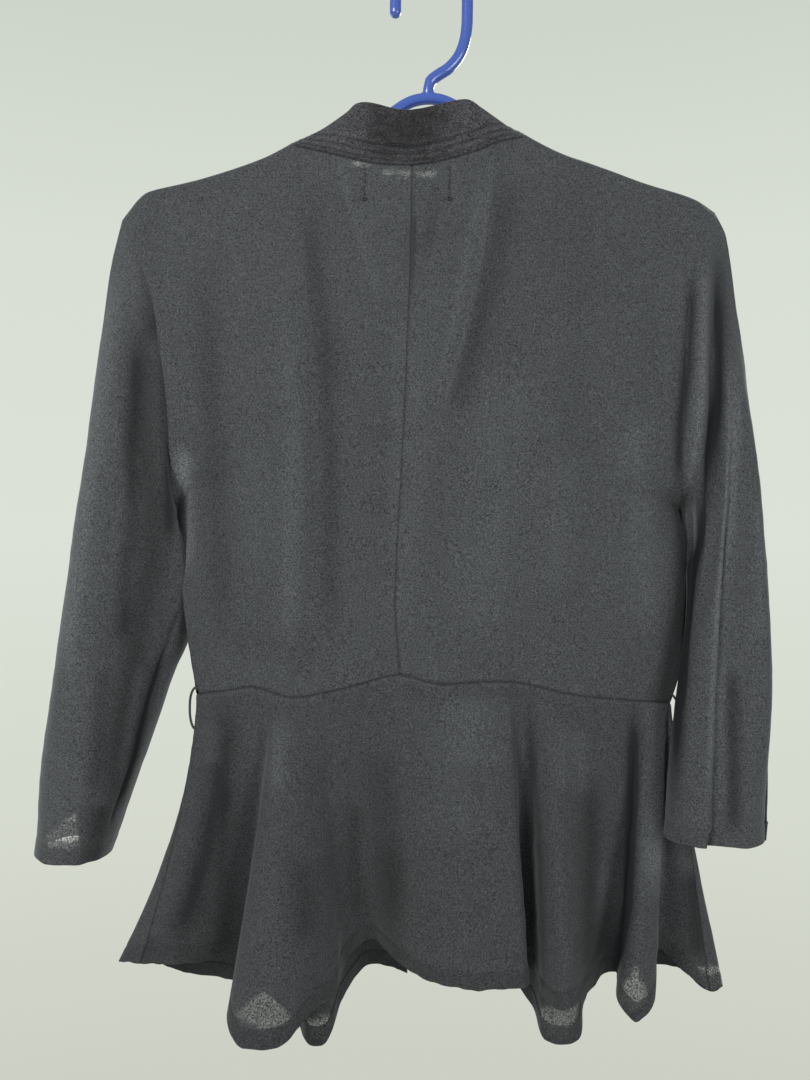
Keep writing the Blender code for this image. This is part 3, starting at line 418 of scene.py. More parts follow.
SLEEVE_CREASES = both_sides(Crease, (
    (206, -205, 213, -330, -0.6, 5, -2), (228, -230, 246, -420, 0.55, 6, 2),
    (198, -255, 203.5, -382, -3.2, 6.5, -1), (204, -350, 199, -412, -1.8, 5, 0),
    (203, -392, 221, -505, -1.8, 7, -3), (214, -270, 213, -392, 0.9, 6, 0),
    (188, -292, 192, -372, 0.9, 5.5, 0), (192, -330, 216, -372, 0.6, 4.5, 2),
    (188, -362, 224, -424, 0.55, 5, -3), (216, -420, 240, -560, -0.5, 6, 3),
    (198, -440, 216, -520, 0.45, 5, -2), (244, -500, 258, -606, 0.45, 6, 1),
    (226, -556, 240, -612, -0.4, 5, 0),
), (
    (-198.5, -186, -190, -322, -3, 4, 1.5), (-194.5, -282, -175.5, -424, -3.2, 4.5, 1.5),
    (-187, -214, -183, -352, 1.5, 5, 0), (-206, -236, -201, -420, 0.55, 5, -1.5),
    (-192, -250, -182, -380, 0.5, 4.5, 1), (-214, -300, -206, -520, -0.5, 5, 2),
    (-186, -430, -180, -560, 0.45, 6, -1), (-196, -470, -198, -590, -0.4, 5, 1),
    (-178, -480, -170, -592, -0.35, 5, 0),
))
PEPLUM_CREASES = rows_of(Crease, (
    (133, -502, 139, -560, -0.5, 4, 1), (96, -504, 98, -545, 0.45, 4, 0),
    (70, -500, 60, -572, -0.5, 5, -2), (40, -494, 28, -546, 0.55, 5, 4),
    (16, -492, 8, -540, -0.45, 5, -2), (-12, -494, -14, -530, 0.35, 6, 0),
    (-36, -494, -42, -560, 0.35, 5, 0), (-82, -500, -92, -570, 0.45, 4.5, 1),
    (-98, -503, -112, -560, -0.45, 4.5, 1), (-134, -506, -150, -590, 0.45, 5, 1),
    (-10, -600, -22, -690, 0.4, 9, 3), (12, -590, -2, -684, -0.4, 8, 2),
))
FRONT_PEPLUM_CREASES = rows_of(Crease, (
    (140, -503, 152, -570, -0.5, 5, 1), (100, -503, 104, -575, 0.5, 5, 1),
    (60, -500, 55, -560, -0.45, 5, 0), (40, -560, 36, -700, 0.45, 8, 2),
    (-30, -500, -34, -575, 0.5, 5, 1), (-66, -503, -66, -560, -0.45, 5, 0),
    (-136, -507, -158, -600, 0.5, 5, 1), (-20, -580, -24, -700, -0.4, 9, 2),
))
NECK_PATCHES = rows_of(Patch, (
    (49, -139, 8, 2.4), (30, -145, 4.5, 2.2), (19.5, -146.5, 4.5, 2.6), (8, -146.5, 4, 2),
    (0, -145.5, 3.5, 1.8),
))
# Where the cloth hangs in few layers and light comes through
LIGHT_PLACES = rows_of(LightPlace, (
    (5.3, ((248.8, -587.3), (247, -608), (270.5, -608), (271.2, -604.8))),
    (1.1, ((247, -608), (246.8, -611.8), (269.1, -613.2), (270.5, -608))),
    (1.3, ((113.5, -709.5), (138, -730), (119.5, -740.5), (96.5, -734))),
    (1.7, ((87, -734), (84.5, -747), (72, -747), (71, -728))),
    (1.3, ((-76.5, -724.5), (-80, -744), (-98.5, -744), (-103, -721.5))),
    (1.9, ((-142, -695), (-127.5, -722.5), (-140, -727), (-153, -721))),
    (5, ((-185.5, -695), (-192, -712), (-206, -710), (-204, -694))),
))
# Edges of the fronts that show through the back, painted as light lines, and their bands' shadows,
# painted as dark bands
BACK_LINES = rows_of(Line, (
    (((67, -129), (58, -160), (47, -200), (36, -232)), 1.6, 0.1, 0.24),
    (((73, -131), (64.5, -161), (54, -202), (43, -238)), 3.2, 0, -0.05),
    (((-42, -129), (-36, -185), (-24, -250), (-6, -310)), 1.6, 0.12, 0.22),
    (((-48, -132), (-42.5, -187), (-30.5, -252), (-12.5, -312)), 3.4, 0, -0.06),
    (((70, -208), (52, -210)), 1.4, 0, -0.05),
))
# Lines of the sleeves: the left underarm seam as a dark line, with a painted highlight on the
# ridge beside it, and a painted highlight along the right sleeve's fold
SLEEVE_LINES = both_sides(Line, (
    (((175.5, -441.7), (185.6, -469.7), (197.8, -508.5), (208.3, -550.2), (221.7, -586.3),
     (226, -600)), 1, -0.7, -0.45),
    (((172.5, -443.7), (182.6, -471.7), (194.8, -510.5), (205.3, -552.2), (218.7, -588.3)), 1.8,
     0.35, 0.1),
), (
    (((-208, -268), (-207.9, -325.5), (-205.9, -368.3), (-200.4, -437.7), (-198.4, -474.4),
     (-196.3, -510.5), (-195, -553.3), (-194.3, -592)), 1.3, 0.35, 0.22),
))
# Shadows and lights of the broad soft folds, seen from behind
BACK_BANDS = rows_of(Line, (
    (((84, -134), (82, -204), (75, -264), (71, -334), (71, -492)), 7.7, 0, -0.3),
    (((100, -225), (97, -313), (97, -369), (102, -488)), 7.7, 0, 0.3),
    (((159, -187), (155, -299), (147, -439), (142, -495)), 9.8, 0, -0.24),
    (((-58, -131), (-47, -201), (-33, -250), (-20, -299), (-12, -327)), 9.8, 0, -0.28),
    (((-37, -138), (-24, -202), (-13, -257), (-2, -299)), 3.5, 0, 0.2),
    (((-6, -145), (5, -201)), 5.6, 0, -0.22),
    (((-48, -257), (-44, -383), (-27, -477)), 21, 0, 0.22),
    (((12, -229), (15, -481)), 9.8, 0, 0.12),
    (((-144, -292), (-146, -369), (-149, -474)), 11.2, 0, 0.3),
    (((-93, -327), (-90, -439)), 14, 0, 0.16), (((124, -313), (121, -439)), 9.8, 0, 0.1),
    (((-90, -138), (-104, -250)), 25.2, 0, -0.06), (((26, -222), (25, -481)), 3.5, 0, 0.1),
    (((-184, -202), (-180, -257), (-174, -313), (-172, -372)), 4.2, 0, -0.68),
    (((-181, -390), (-179, -432), (-177, -470), (-174, -509)), 2.8, 0, -0.85),
    (((174, -327), (174, -425)), 6.3, 0, 1.1), (((145, -467), (71, -477)), 11.2, 0, -0.12),
))
# Painted shade and painted light of the sleeves' folds and troughs, seen from behind
SLEEVE_BANDS = both_sides(Line, (
    (((200, -208), (203, -285), (201, -334), (196, -376), (198, -418), (208, -453), (215, -526),
     (222, -568), (229, -614)), 14.7, 0, -0.62),
    (((201, -169), (195, -222), (191, -264)), 8.4, 0, -0.46),
    (((208, -250), (210, -320), (210, -390)), 4.9, 0, -0.2),
    (((211, -369), (218, -474)), 5.6, 0, -0.26),
    (((188, -250), (184, -334), (182, -411)), 4.9, 0, -0.42),
    (((186, -467), (198, -509), (210, -554), (219, -596)), 4.2, 0, -0.5),
    (((203, -481), (210, -523), (218, -572)), 4.2, 0, 0.38),
    (((229, -481), (239, -579)), 6.3, 0, -0.3), (((231, -579), (236, -631)), 9.8, 0, -0.5),
    (((221, -194), (238, -320), (246, -383), (254, -453), (260, -509)), 8.4, 0, 0.5),
), (
    (((-203, -174), (-202, -250), (-200, -299), (-195, -334), (-191, -372), (-182, -414),
     (-177, -456), (-173, -502), (-170, -551), (-170, -601)), 5.6, -0.6, -0.9),
    (((-184, -202), (-180, -278), (-173, -334), (-174, -383)), 3.5, -0.3, -0.7),
    (((-181, -407), (-181, -425), (-180, -449), (-178, -474), (-175, -519)), 2.1, 0, -0.85),
    (((-192, -194), (-190, -285), (-184, -341), (-180, -369)), 3.5, 0.2, 0.5),
    (((-213, -257), (-212, -341), (-208, -397), (-203, -439), (-199, -523), (-197, -594)), 4.9,
     0.4, 0.5),
    (((-212, -481), (-213, -565), (-215, -612)), 7, 0, -0.6),
    (((-231, -355), (-233, -474)), 3.5, 0, 0.25),
    (((-206, -481), (-208, -551), (-208, -593)), 3.5, 0, 0.3),
))
# Painted shade and painted light of the peplum's flutes and valleys, seen from behind
PEPLUM_BANDS = rows_of(Line, (
    (((141, -495), (149, -572), (158, -614), (169, -652), (191, -698)), 10.5, 0, -0.48),
    (((152, -524), (155, -558)), 7, 0, 0.26), (((106, -519), (109, -579)), 7, 0, 0.3),
    (((141, -558), (150, -663)), 4.2, 0, -0.2), (((92, -614), (89, -684)), 9.8, 0, -0.26),
    (((40, -533), (33, -579), (29, -621), (29, -677)), 13.3, 0, -0.22),
    (((56, -572), (51, -670)), 6.3, 0, -0.28), (((28, -600), (26, -708)), 11.2, 0, -0.18),
    (((-66, -491), (-71, -565), (-75, -621), (-77, -691), (-78, -761)), 3.5, 0, -0.38),
    (((-112, -551), (-111, -719)), 7, 0, -0.4), (((-103, -526), (-104, -579)), 6.3, 0, 0.26),
    (((-142, -502), (-141, -572), (-139, -614), (-137, -652), (-131, -687), (-124, -726)), 4.9, 0,
     -0.84),
    (((-158, -488), (-159, -579), (-155, -656)), 7.7, 0, 0.85),
    (((-122, -614), (-120, -712)), 5.6, 0, 0.45), (((-165, -600), (-166, -701)), 4.9, 0, 0.5),
    (((-182, -621), (-188, -698)), 11.2, 0, -0.46), (((-27, -502), (-24, -558)), 23.8, 0, 0.32),
    (((-20, -540), (-23, -614)), 23.8, 0, 0.14), (((-92, -519), (-91, -579)), 5.6, 0, 0.18),
    (((197, -670), (208, -691)), 11.2, 0, -0.3),
))
# Fold of the right sleeve's back layer, over its front layer
SLEEVE_FOLD_EDGE = (
    (-208.6, -262), (-207.9, -325.5), (-205.9, -368.3), (-200.4, -437.7), (-198.4, -474.4),
    (-196.3, -510.5), (-195, -553.3), (-194.3, -600),
)
SLEEVE_FOLD_DROP = 7
# Painted shade: darker patches down the middle of the back, where it lies in shade
PAINTED_SHADE_PATCHES = rows_of(Patch, (
    (25, -240, 7, 4), (8, -289, 6, 4), (30, -326, 9, 6), (10, -322, 6, 4), (36, -372, 11, 7),
    (28, -417, 8, 4), (12, -420, 6, 4), (66, -274, 12, 22), (-10, -214, 8, 5),
))
RIPPLES = rows_of(Ripple, (
    (61, 410, 0.4, 0.34), (37, 270, 2.1, 0.2), (23, 190, 4, 0.11), (97, 133, 1.2, 0.26),
    (48, 71, 5.2, 0.12), (-83, 97, 3.3, 0.14),
))

# Rows of a bodice piece in the solid, as shares of its armhole and then of its side seam
ROW_MARKS = (0, 0.012, 0.035, 0.08, 0.15, 0.24, 0.34, 0.45, 0.56, 0.67, 0.77, 0.86, 0.94, 1)
SIDE_ROWS = 5
UNDERARM_SHARE = 0.61
NECK_PART = 0.4

# Shares of a soft fold's height over which it rises at its top and dies out below
FOLD_BEGINS = 0.3
FOLD_ENDS = 0.25


def array(rows: Iterable[Sequence[float]]) -> Array:
    """Rows of stations as an array of points."""
    return np.array([tuple(row) for row in rows], float)


def shares(points: Array) -> Array:
    """Distance along a run of points, from 0 at its start to 1 at its end.

    Args:
        points: the run, one point a row.

    Returns:
        One share for each point.
    """
    steps = np.linalg.norm(np.diff(points, axis=0), axis=1)
    travelled = np.concatenate([[0.0], np.cumsum(steps)])
    return travelled / travelled[-1]


def hermite(knots: Array, values: Array, at: Array) -> Array:
    """Smooth curve through values at knots.

    Args:
        knots: places of the values, rising.
        values: one value or one point for each knot.
        at: places to read.

    Returns:
        The curve at those places.
    """
    knots, values = np.asarray(knots, float), np.asarray(values, float)
    at = np.clip(np.atleast_1d(np.asarray(at, float)), knots[0], knots[-1])
    slopes = np.empty_like(values)
    slopes[1:-1] = ((values[2:] - values[:-2]).T / (knots[2:] - knots[:-2])).T
    slopes[0] = (values[1] - values[0]) / (knots[1] - knots[0])
    slopes[-1] = (values[-1] - values[-2]) / (knots[-1] - knots[-2])
    spot = np.clip(np.searchsorted(knots, at, side="right") - 1, 0, len(knots) - 2)
    width = knots[spot + 1] - knots[spot]
    t = (at - knots[spot]) / width
    basis = (2 * t**3 - 3 * t**2 + 1, t**3 - 2 * t**2 + t, -2 * t**3 + 3 * t**2, t**3 - t**2)
    if values.ndim == 2:
        basis = tuple(part[:, None] for part in basis)
        width = width[:, None]
    start, end = values[spot], values[spot + 1]
    return (
        basis[0] * start + basis[1] * width * slopes[spot]
        + basis[2] * end + basis[3] * width * slopes[spot + 1]
    )


def along(rows: Iterable[Sequence[float]], at: Array) -> Array:
    """Points on the smooth curve through a table's stations, at shares of its length."""
    points = array(rows)
    return hermite(shares(points), points, at)


def by_x(rows: Iterable[Sequence[float]], at: Array) -> Array:
    """Points on the smooth curve through a table's stations, at given x."""
    points = array(rows)
    points = points[np.argsort(points[:, 0])]
    at = np.atleast_1d(np.asarray(at, float))
    return np.column_stack([at, hermite(points[:, 0], points[:, 1:], at)])


def depth_at(rows: Iterable[Depth], z: Array) -> Array:
    """Stand-out of the cloth at height z, from a table of depths."""
    table = array(rows)[::-1]
    return np.interp(z, table[:, 0], table[:, 1])


def soft(value: Any) -> Any:
    """Rise from 0 to 1 with level ends."""
    value = np.clip(value, 0.0, 1.0)
    return value * value * (3.0 - 2.0 * value)


def unit(vectors: Array) -> Array:
    """Vectors made one long."""
    return vectors / np.maximum(np.linalg.norm(vectors, axis=-1, keepdims=True), 1e-9)


def spaced(rows: Iterable[Sequence[float]], step: float) -> Array:
    """Points about a step apart on the smooth curve through a table's stations."""
    points = array(rows)
    length = np.linalg.norm(np.diff(points, axis=0), axis=1).sum()
    return along(rows, np.linspace(0.0, 1.0, max(2, int(round(length / step)) + 1)))


def closer_ends(length: float, step: float, start: float = 4.0, end: float = 4.0) -> Array:
    """Shares of a length in even steps, with closer ones near its ends.

    Args:
        length: the length in millimetres.
        step: the even step in millimetres.
        start: depth of the closer steps at the start, or 0 for none.
        end: depth of the closer steps at the end, or 0 for none.

    Returns:
        Shares from 0 to 1.
    """
    fine = step / 3.0
    low = np.arange(0.0, start, fine) if start else np.array([0.0])
    high = length - (np.arange(0.0, end, fine) if end else np.array([0.0]))[::-1]
    count = max(2, int(round((high[0] - low[-1]) / step)) + 1)
    middle = np.linspace(low[-1], high[0], count)[1:-1]
    return np.concatenate([low, middle, high]) / length


def smooth_run(values: Array, reach: float) -> Array:
    """Values along a run, eased over a number of steps, with both ends kept.

    Args:
        values: one value for each step.
        reach: how many steps the easing reaches.

    Returns:
        The eased values.
    """
    half = max(1, int(round(reach * 2.5)))
    weights = np.exp(-0.5 * (np.arange(-half, half + 1) / reach) ** 2)
    weights /= weights.sum()
    before = 2.0 * values[0] - values[1:half + 1][::-1]
    after = 2.0 * values[-1] - values[-half - 1:-1][::-1]
    return np.convolve(np.concatenate([before, values, after]), weights, mode="valid")


def fold_height(folds: Iterable[Fold], x: Array, z: Array) -> Array:
    """Height of the soft upright folds of the bodice at points x, z."""
    total = np.zeros_like(x)
    for fold in folds:
        share = (fold.z_top - z) / (fold.z_top - fold.z_low)
        centre = fold.x_top + (fold.x_low - fold.x_top) * np.clip(share, 0.0, 1.0)
        fade = soft(share / FOLD_BEGINS) * soft((1.0 - share) / FOLD_ENDS)
        total += fold.out * fade * np.exp(-(((x - centre) / fold.half_width) ** 2))
    return total


def crease_height(creases: Iterable[Crease], x: Array, z: Array) -> Array:
    """Height of the listed creases at points x, z.

    Args:
        creases: the creases.
        x: points' x in millimetres.
        z: points' z in millimetres.

    Returns:
        Rise out of the cloth in millimetres.
    """
    total = np.zeros_like(x)
    for crease in creases:
        run_x, run_z = crease.x_low - crease.x_top, crease.z_low - crease.z_top
        length = math.hypot(run_x, run_z)
        ahead = ((x - crease.x_top) * run_x + (z - crease.z_top) * run_z) / length**2
        ahead = np.clip(ahead, 0.0, 1.0)
        bow = crease.bow * np.sin(np.pi * ahead)
        aside = ((x - crease.x_top) * run_z - (z - crease.z_top) * run_x) / length - bow
        fade = np.sin(np.pi * ahead) ** 0.7
        total += crease.out * fade * np.exp(-((aside / crease.half_width) ** 2))
    return total


def ripple_height(x: Array, z: Array) -> Array:
    """Height of the slow waves of the hung cloth at points x, z."""
    total = np.zeros_like(x)
    for ripple in RIPPLES:
        turn = 2.0 * np.pi * (x / ripple.length_x + z / ripple.length_z) + ripple.shift
        total += ripple.out * np.sin(turn + 0.6 * np.sin(turn * 0.37 + ripple.shift))
    return total


def patch_share(patches: Iterable[Patch], x: Array, z: Array) -> Array:
    """How far points x, z lie in a set of soft oval patches, from 0 to 1."""
    most = np.zeros_like(x)
    for patch in patches:
        away = np.hypot((x - patch.x) / patch.half_x, (z - patch.z) / patch.half_z)
        most = np.maximum(most, soft(1.5 - away))
    return most


def from_behind(grid: Array) -> tuple[Array, Array]:
    """Places of points seen level from behind the jacket's middle, x and z."""
    nearer = EYE.y / (EYE.y - grid[..., 1])
    return EYE.x + (grid[..., 0] - EYE.x) * nearer, EYE.z + (grid[..., 2] - EYE.z) * nearer


def light_share(places: Iterable[LightPlace], grid: Array, ease: float = 2.0) -> Array:
    """How open the cloth lies at points, in the places where light comes through.

    Args:
        places: the places.
        grid: the points.
        ease: width of a place's soft edge in millimetres.

    Returns:
        One share for each point.
    """
    x, z = from_behind(grid)
    x = x + 1.3 * cloth_noise(x, z, 7.0, 11)
    z = z + 1.3 * cloth_noise(x, z, 6.0, 12)
    most = np.zeros_like(x)
    for place in places:
        walls = list(zip(place.corners, (*place.corners[1:], place.corners[0])))
        turn = sum(ax * bz - bx * az for (ax, az), (bx, bz) in walls)
        least = np.full_like(x, 1e9)
        for (ax, az), (bx, bz) in walls:
            run_x, run_z = bx - ax, bz - az
            inside = (run_x * (z - az) - run_z * (x - ax)) / math.hypot(run_x, run_z)
            least = np.minimum(least, inside * np.sign(turn))
        most = np.maximum(most, place.share * soft(least / ease + 0.5))
    return most


def line_away(points: Sequence[tuple[float, float]], x: Array, z: Array) -> tuple[Array, Array]:
    """Distance of points x, z from a broken line, and how far along it they lie.

    Args:
        points: the line's x and z.
        x: points' x in millimetres.
        z: points' z in millimetres.

    Returns:
        Distance, negative on its left going down, and the share along the line.
    """
    best, side, travelled, gone = np.full_like(x, 1e9), np.ones_like(x), np.zeros_like(x), 0.0
    for (ax, az), (bx, bz) in zip(points[:-1], points[1:]):
        run_x, run_z = bx - ax, bz - az
        length = math.hypot(run_x, run_z)
        ahead = np.clip(((x - ax) * run_x + (z - az) * run_z) / length**2, 0.0, 1.0)
        away = np.hypot(x - ax - run_x * ahead, z - az - run_z * ahead)
        aside = np.sign((x - ax) * run_z - (z - az) * run_x)
        nearer = away < best
        best, side = np.where(nearer, away, best), np.where(nearer, aside, side)
        travelled = np.where(nearer, gone + ahead * length, travelled)
        gone += length
    return best * side, travelled / gone


def line_marks(lines: Iterable[Line], x: Array, z: Array,
               ends: float = 0.06) -> tuple[Array, Array]:
    """Rise and change of tone of lines at points x, z, which fade over their ends."""
    rise, tone = np.zeros_like(x), np.zeros_like(x)
    for line in lines:
        away, share = line_away(line.points, x, z)
        mark = np.exp(-((away / line.half_width) ** 2))
        mark = mark * soft(share / ends) * soft((1 - share) / ends)
        rise += line.out * mark
        tone += line.tone * mark
    return rise, tone


def grid_normals(grid: Array, closed: bool) -> Array:
    """Normal of a grid's surface at its points, from the corners that meet there.

    Args:
        grid: points by row and column.
        closed: whether the last column meets the first.

    Returns:
        One unit normal for each point.
    """
    right = np.roll(grid, -1, axis=1)
    corners = (grid[:-1], right[:-1], right[1:], grid[1:])
    total = np.zeros_like(grid)
    for k in range(4):
        here, after, before = corners[k], corners[(k + 1) % 4], corners[k - 1]
        part = np.cross(after - here, before - here)
        if not closed:
            part[:, -1] = 0.0
        if k in (1, 2):
            part = np.roll(part, 1, axis=1)
        if k < 2:
            total[:-1] += part
        else:
            total[1:] += part
    return -unit(total)


def cloth_noise(x: Array, z: Array, size: float, seed: int) -> Array:
    """Soft uneven heights over points x, z, the same each time.

    Args:
        x: points' x in millimetres.
        z: points' z in millimetres.
        size: about how far apart its rises are, in millimetres.
        seed: which of its patterns to use.

    Returns:
        Heights from -1 to 1.
    """
    table = np.random.default_rng(seed).random((64, 64)) * 2.0 - 1.0
    across, down = x / size + 17.3 * seed, z / size + 5.1 * seed
    i, j = np.floor(across).astype(int), np.floor(down).astype(int)
    s, t = soft(across - i), soft(down - j)

    def knot(a: int, b: int) -> Array:
        """Height at one corner of each point's cell."""
        return table[(i + a) % 64, (j + b) % 64]

    return (
        (knot(0, 0) * (1 - s) + knot(1, 0) * s) * (1 - t)
        + (knot(0, 1) * (1 - s) + knot(1, 1) * s) * t
    )


def run_over(grid: Array) -> tuple[Array, Array]:
    """Distance travelled down and across a grid at each of its points."""
    down = np.zeros(grid.shape[:2])
    across = np.zeros(grid.shape[:2])
    down[1:] = np.cumsum(np.linalg.norm(np.diff(grid, axis=0), axis=2), axis=0)
    across[:, 1:] = np.cumsum(np.linalg.norm(np.diff(grid, axis=1), axis=2), axis=1)
    return down, across


def edge_distances(grid: Array) -> dict[str, Array]:
    """Distance of each point of a grid from each of its edges, by the edge's name."""
    down, across = run_over(grid)
    return {
        "top": down, "low": down[-1:] - down, "first": across, "last": across[:, -1:] - across,
    }


def fades(travelled: Array, first: float, last: float) -> Array:
    """Share that rises over a reach at the start of each column and falls at its end."""
    return soft(travelled / first) * soft((travelled[-1:] - travelled) / last)


def add_object(name: str, vertices: Array, faces: list, values: dict[str, Array],
               shading: Array | None = None) -> bpy.types.Object:
    """Make one smooth object.

    Args:
        name: its name.
        vertices: points in millimetres.
        faces: corner numbers of each face.
        values: named values that its material reads, one for each point.
        shading: normals of its points, or none where they follow its faces.

    Returns:
        The new object.
    """
    mesh = bpy.data.meshes.new(name)
    mesh.from_pydata((np.asarray(vertices) * MM).tolist(), [], faces)
    for key, numbers in values.items():
        mesh.attributes.new(key, "FLOAT", "POINT").data.foreach_set(
            "value", np.asarray(numbers, np.float32).ravel()
        )
    mesh.polygons.foreach_set("use_smooth", [True] * len(mesh.polygons))
    mesh.update()
    if shading is not None:
        mesh.normals_split_custom_set_from_vertices(shading.reshape(-1, 3).tolist())
    made = bpy.data.objects.new(name, mesh)
    bpy.context.scene.collection.objects.link(made)
    return made


def edge_lines(grid: Array) -> dict[str, Array]:
    """The four edges of a grid, by name."""
    return {"top": grid[0], "low": grid[-1], "first": grid[:, 0], "last": grid[:, -1]}


@dataclass
class ClothSheet:
    """One cut piece of cloth, as a grid of points with finished edges."""

    name: str
    grid: Array
    outside: float
    top: Edge
    low: Edge
    first: Edge
    last: Edge
    sheer: Array
    tone: Array
    closed: bool = False
    seam_dip: float = 0.42
    seam_reach: float = 1.3
    seam_raise: float = 0.16
    allowance: float = 4.2
    allowance_width: float = 3.2
    pucker: float = 0.12
    pucker_reach: float = 5.0
    seam_tone: float = 0.52
    seam_line: float = 0.9
    least_tone: float = 0.12
    hem_tone: float = 0.10
    fold_gap: float = 0.7
    shared_reach: float = 5.0
    firm: dict[str, Array] = field(default_factory=dict)
    shared: dict[str, Array] = field(default_factory=dict)

    def edges(self) -> dict[str, Edge]:
        """Finish of each edge, by its name."""
        return {"top": self.top, "low": self.low, "first": self.first, "last": self.last}

    def seam_keys(self) -> list[str]:
        """Names of the edges that are sewn to a neighbour."""
        return [key for key, edge in self.edges().items() if edge.kind is EdgeKind.SEAM]

    def normals(self, grid: Array, shown: bool = False) -> Array:
        """Outward normals, which turn to the ones shared with a neighbour near a seam.

        Args:
            grid: the sheet's points.
            shown: whether they shade the cloth, so that a firm seam keeps its groove.

        Returns:
            One unit normal for each point.
        """
        found = grid_normals(grid, self.closed) * self.outside
        away = edge_distances(self.grid)
        for key, line in self.shared.items():
            share = soft(1.0 - away[key] / self.shared_reach)[..., None]
            if shown:
                share = share * (1.0 - 0.7 * np.asarray(self.firm.get(key, 1.0))[..., None])
            there = line[None, :, :] if key in ACROSS else line[:, None, :]
            found = unit(found * (1.0 - share) + there * share)
        return found

    def near_seam(self, away: Array, beside: Array) -> Array:
        """Rise of the cloth beside a seam: its groove, its allowance and its puckers.

        Args:
            away: distance from the seam.
            beside: distance travelled along it.

        Returns:
            Rise in millimetres.
        """
        groove = -self.seam_dip * np.clip(1.0 - away / self.seam_reach, 0.0, 1.0) ** 2
        raised = self.seam_raise * np.exp(
            -(((away - self.allowance) / self.allowance_width) ** 2)
        )
        beat = np.sin(beside / 1.45) * np.sin(beside / 5.3 + 1.3)
        beat += 0.5 * np.sin(beside / 2.9 + 0.7)
        return groove + raised + self.pucker * beat * np.exp(-away / self.pucker_reach)

    def near_hem(self, away: Array, beside: Array, depth: float) -> Array:
        """Rise of the cloth over a hem: its fullness, its stitched line and its puckers.

        Args:
            away: distance from the folded edge.
            beside: distance travelled along it.
            depth: depth of the hem.

        Returns:
            Rise in millimetres.
        """
        full = 0.18 * soft((depth - away) / 3.0)
        line = -0.22 * np.exp(-(((away - depth) / 1.1) ** 2))
        beat = np.sin(beside / 1.9 + 0.5) * np.sin(beside / 7.1) + 0.6 * np.sin(beside / 4.3)
        return full + line + 0.10 * beat * np.exp(-(((away - depth * 0.6) / 7.0) ** 2))

    def sides(self, grid: Array) -> list[tuple[str, Edge, Array, Array]]:
        """Each edge with its name, the distance from it and the distance along it."""
        away = edge_distances(grid)
        return [
            (key, edge, away[key], away["first" if key in ACROSS else "top"])
            for key, edge in self.edges().items() if key in ACROSS or not self.closed
        ]

    @staticmethod
    def turned(rows: Array, edge: Edge, gap: float) -> Array:
        """Finish the last row of a sheet's rows.

        Args:
            rows: rows of points, normals, sheerness, tone and shading.
            edge: how the last row is finished.
            gap: how far the turned cloth lies from the outer cloth.

        Returns:
            The rows with the turned ones added.
        """
        if edge.kind is EdgeKind.RAW:
            return rows
        added = []
        if edge.kind is EdgeKind.SEAM:
            for depth in SEAM_TURN_DEPTHS:
                row = rows[-1].copy()
                row[:, :3] -= row[:, 3:6] * depth
                row[:, 6] = 0.0
                row[:, 7] *= INSIDE_TONE
                added.append(row)
            return np.concatenate([rows, np.stack(added)])
        lengths = np.linalg.norm(rows[-1, :, :3] - rows[:, :, :3], axis=2).mean(axis=1)
        inside = [k for k in range(len(rows) - 1, -1, -1) if lengths[k] <= edge.depth]
        ahead = unit(rows[-1, :, :3] - rows[-2, :, :3])
        row = rows[-1].copy()
        row[:, :3] += (ahead - row[:, 3:6]) * gap * 0.5
        row[:, 8:] = 0.0
        added.append(row)
        for k in inside:
            row = rows[k].copy()
            row[:, 8:] = 0.0
            row[:, :3] -= row[:, 3:6] * (gap if k != inside[-1] else gap * 0.4)
            added.append(row)
        return np.concatenate([rows, np.stack(added)])

    def rows(self) -> Array:
        """Rows of points, normals, sheerness, tone and shading of the finished sheet."""
        grid = self.grid
        normals = self.normals(grid)
        tone = self.tone.copy()
        rise = np.zeros(grid.shape[:2])
        for key, edge, away, beside in self.sides(grid):
            if edge.kind is EdgeKind.SEAM:
                firm = self.firm.get(key, 1.0)
                rise += self.near_seam(away, beside) * firm
                line = np.exp(-((away / self.seam_line) ** 2))
                tone *= 1.0 - self.seam_tone * firm * line
            elif edge.kind is EdgeKind.HEM:
                rise += self.near_hem(away, beside, edge.depth)
                tone *= 1.0 - self.hem_tone * soft((edge.depth + 1.0 - away) / 2.0)
        tone = np.maximum(tone, self.least_tone)
        grid = grid + normals * rise[..., None]
        rows = np.concatenate([
            grid, self.normals(grid), self.sheer[..., None], tone[..., None],
            self.normals(grid, True),
        ], axis=2)
        if not self.closed:
            rows = self.turned(rows.swapaxes(0, 1), self.last, self.fold_gap)[::-1]
            rows = self.turned(rows, self.first, self.fold_gap)[::-1].swapaxes(0, 1)
        rows = self.turned(rows, self.low, self.fold_gap)[::-1]
        return self.turned(rows, self.top, self.fold_gap)[::-1]

    def build(self) -> bpy.types.Object:
        """Make the piece's object."""
        rows = self.rows()
        count, columns = rows.shape[:2]
        steps = columns if self.closed else columns - 1
        i = np.arange(count - 1)[:, None] * columns
        j = np.arange(steps)[None, :]
        k = (j + 1) % columns
        corners = [i + j, i + k, i + columns + k, i + columns + j]
        if self.outside > 0.0:
            corners.reverse()
        faces = np.stack(corners, axis=2).reshape(-1, 4).tolist()
        values = {"sheer": rows[..., 6], "tone": rows[..., 7]}
        return add_object(self.name, rows[..., :3].reshape(-1, 3), faces, values, rows[..., 8:])


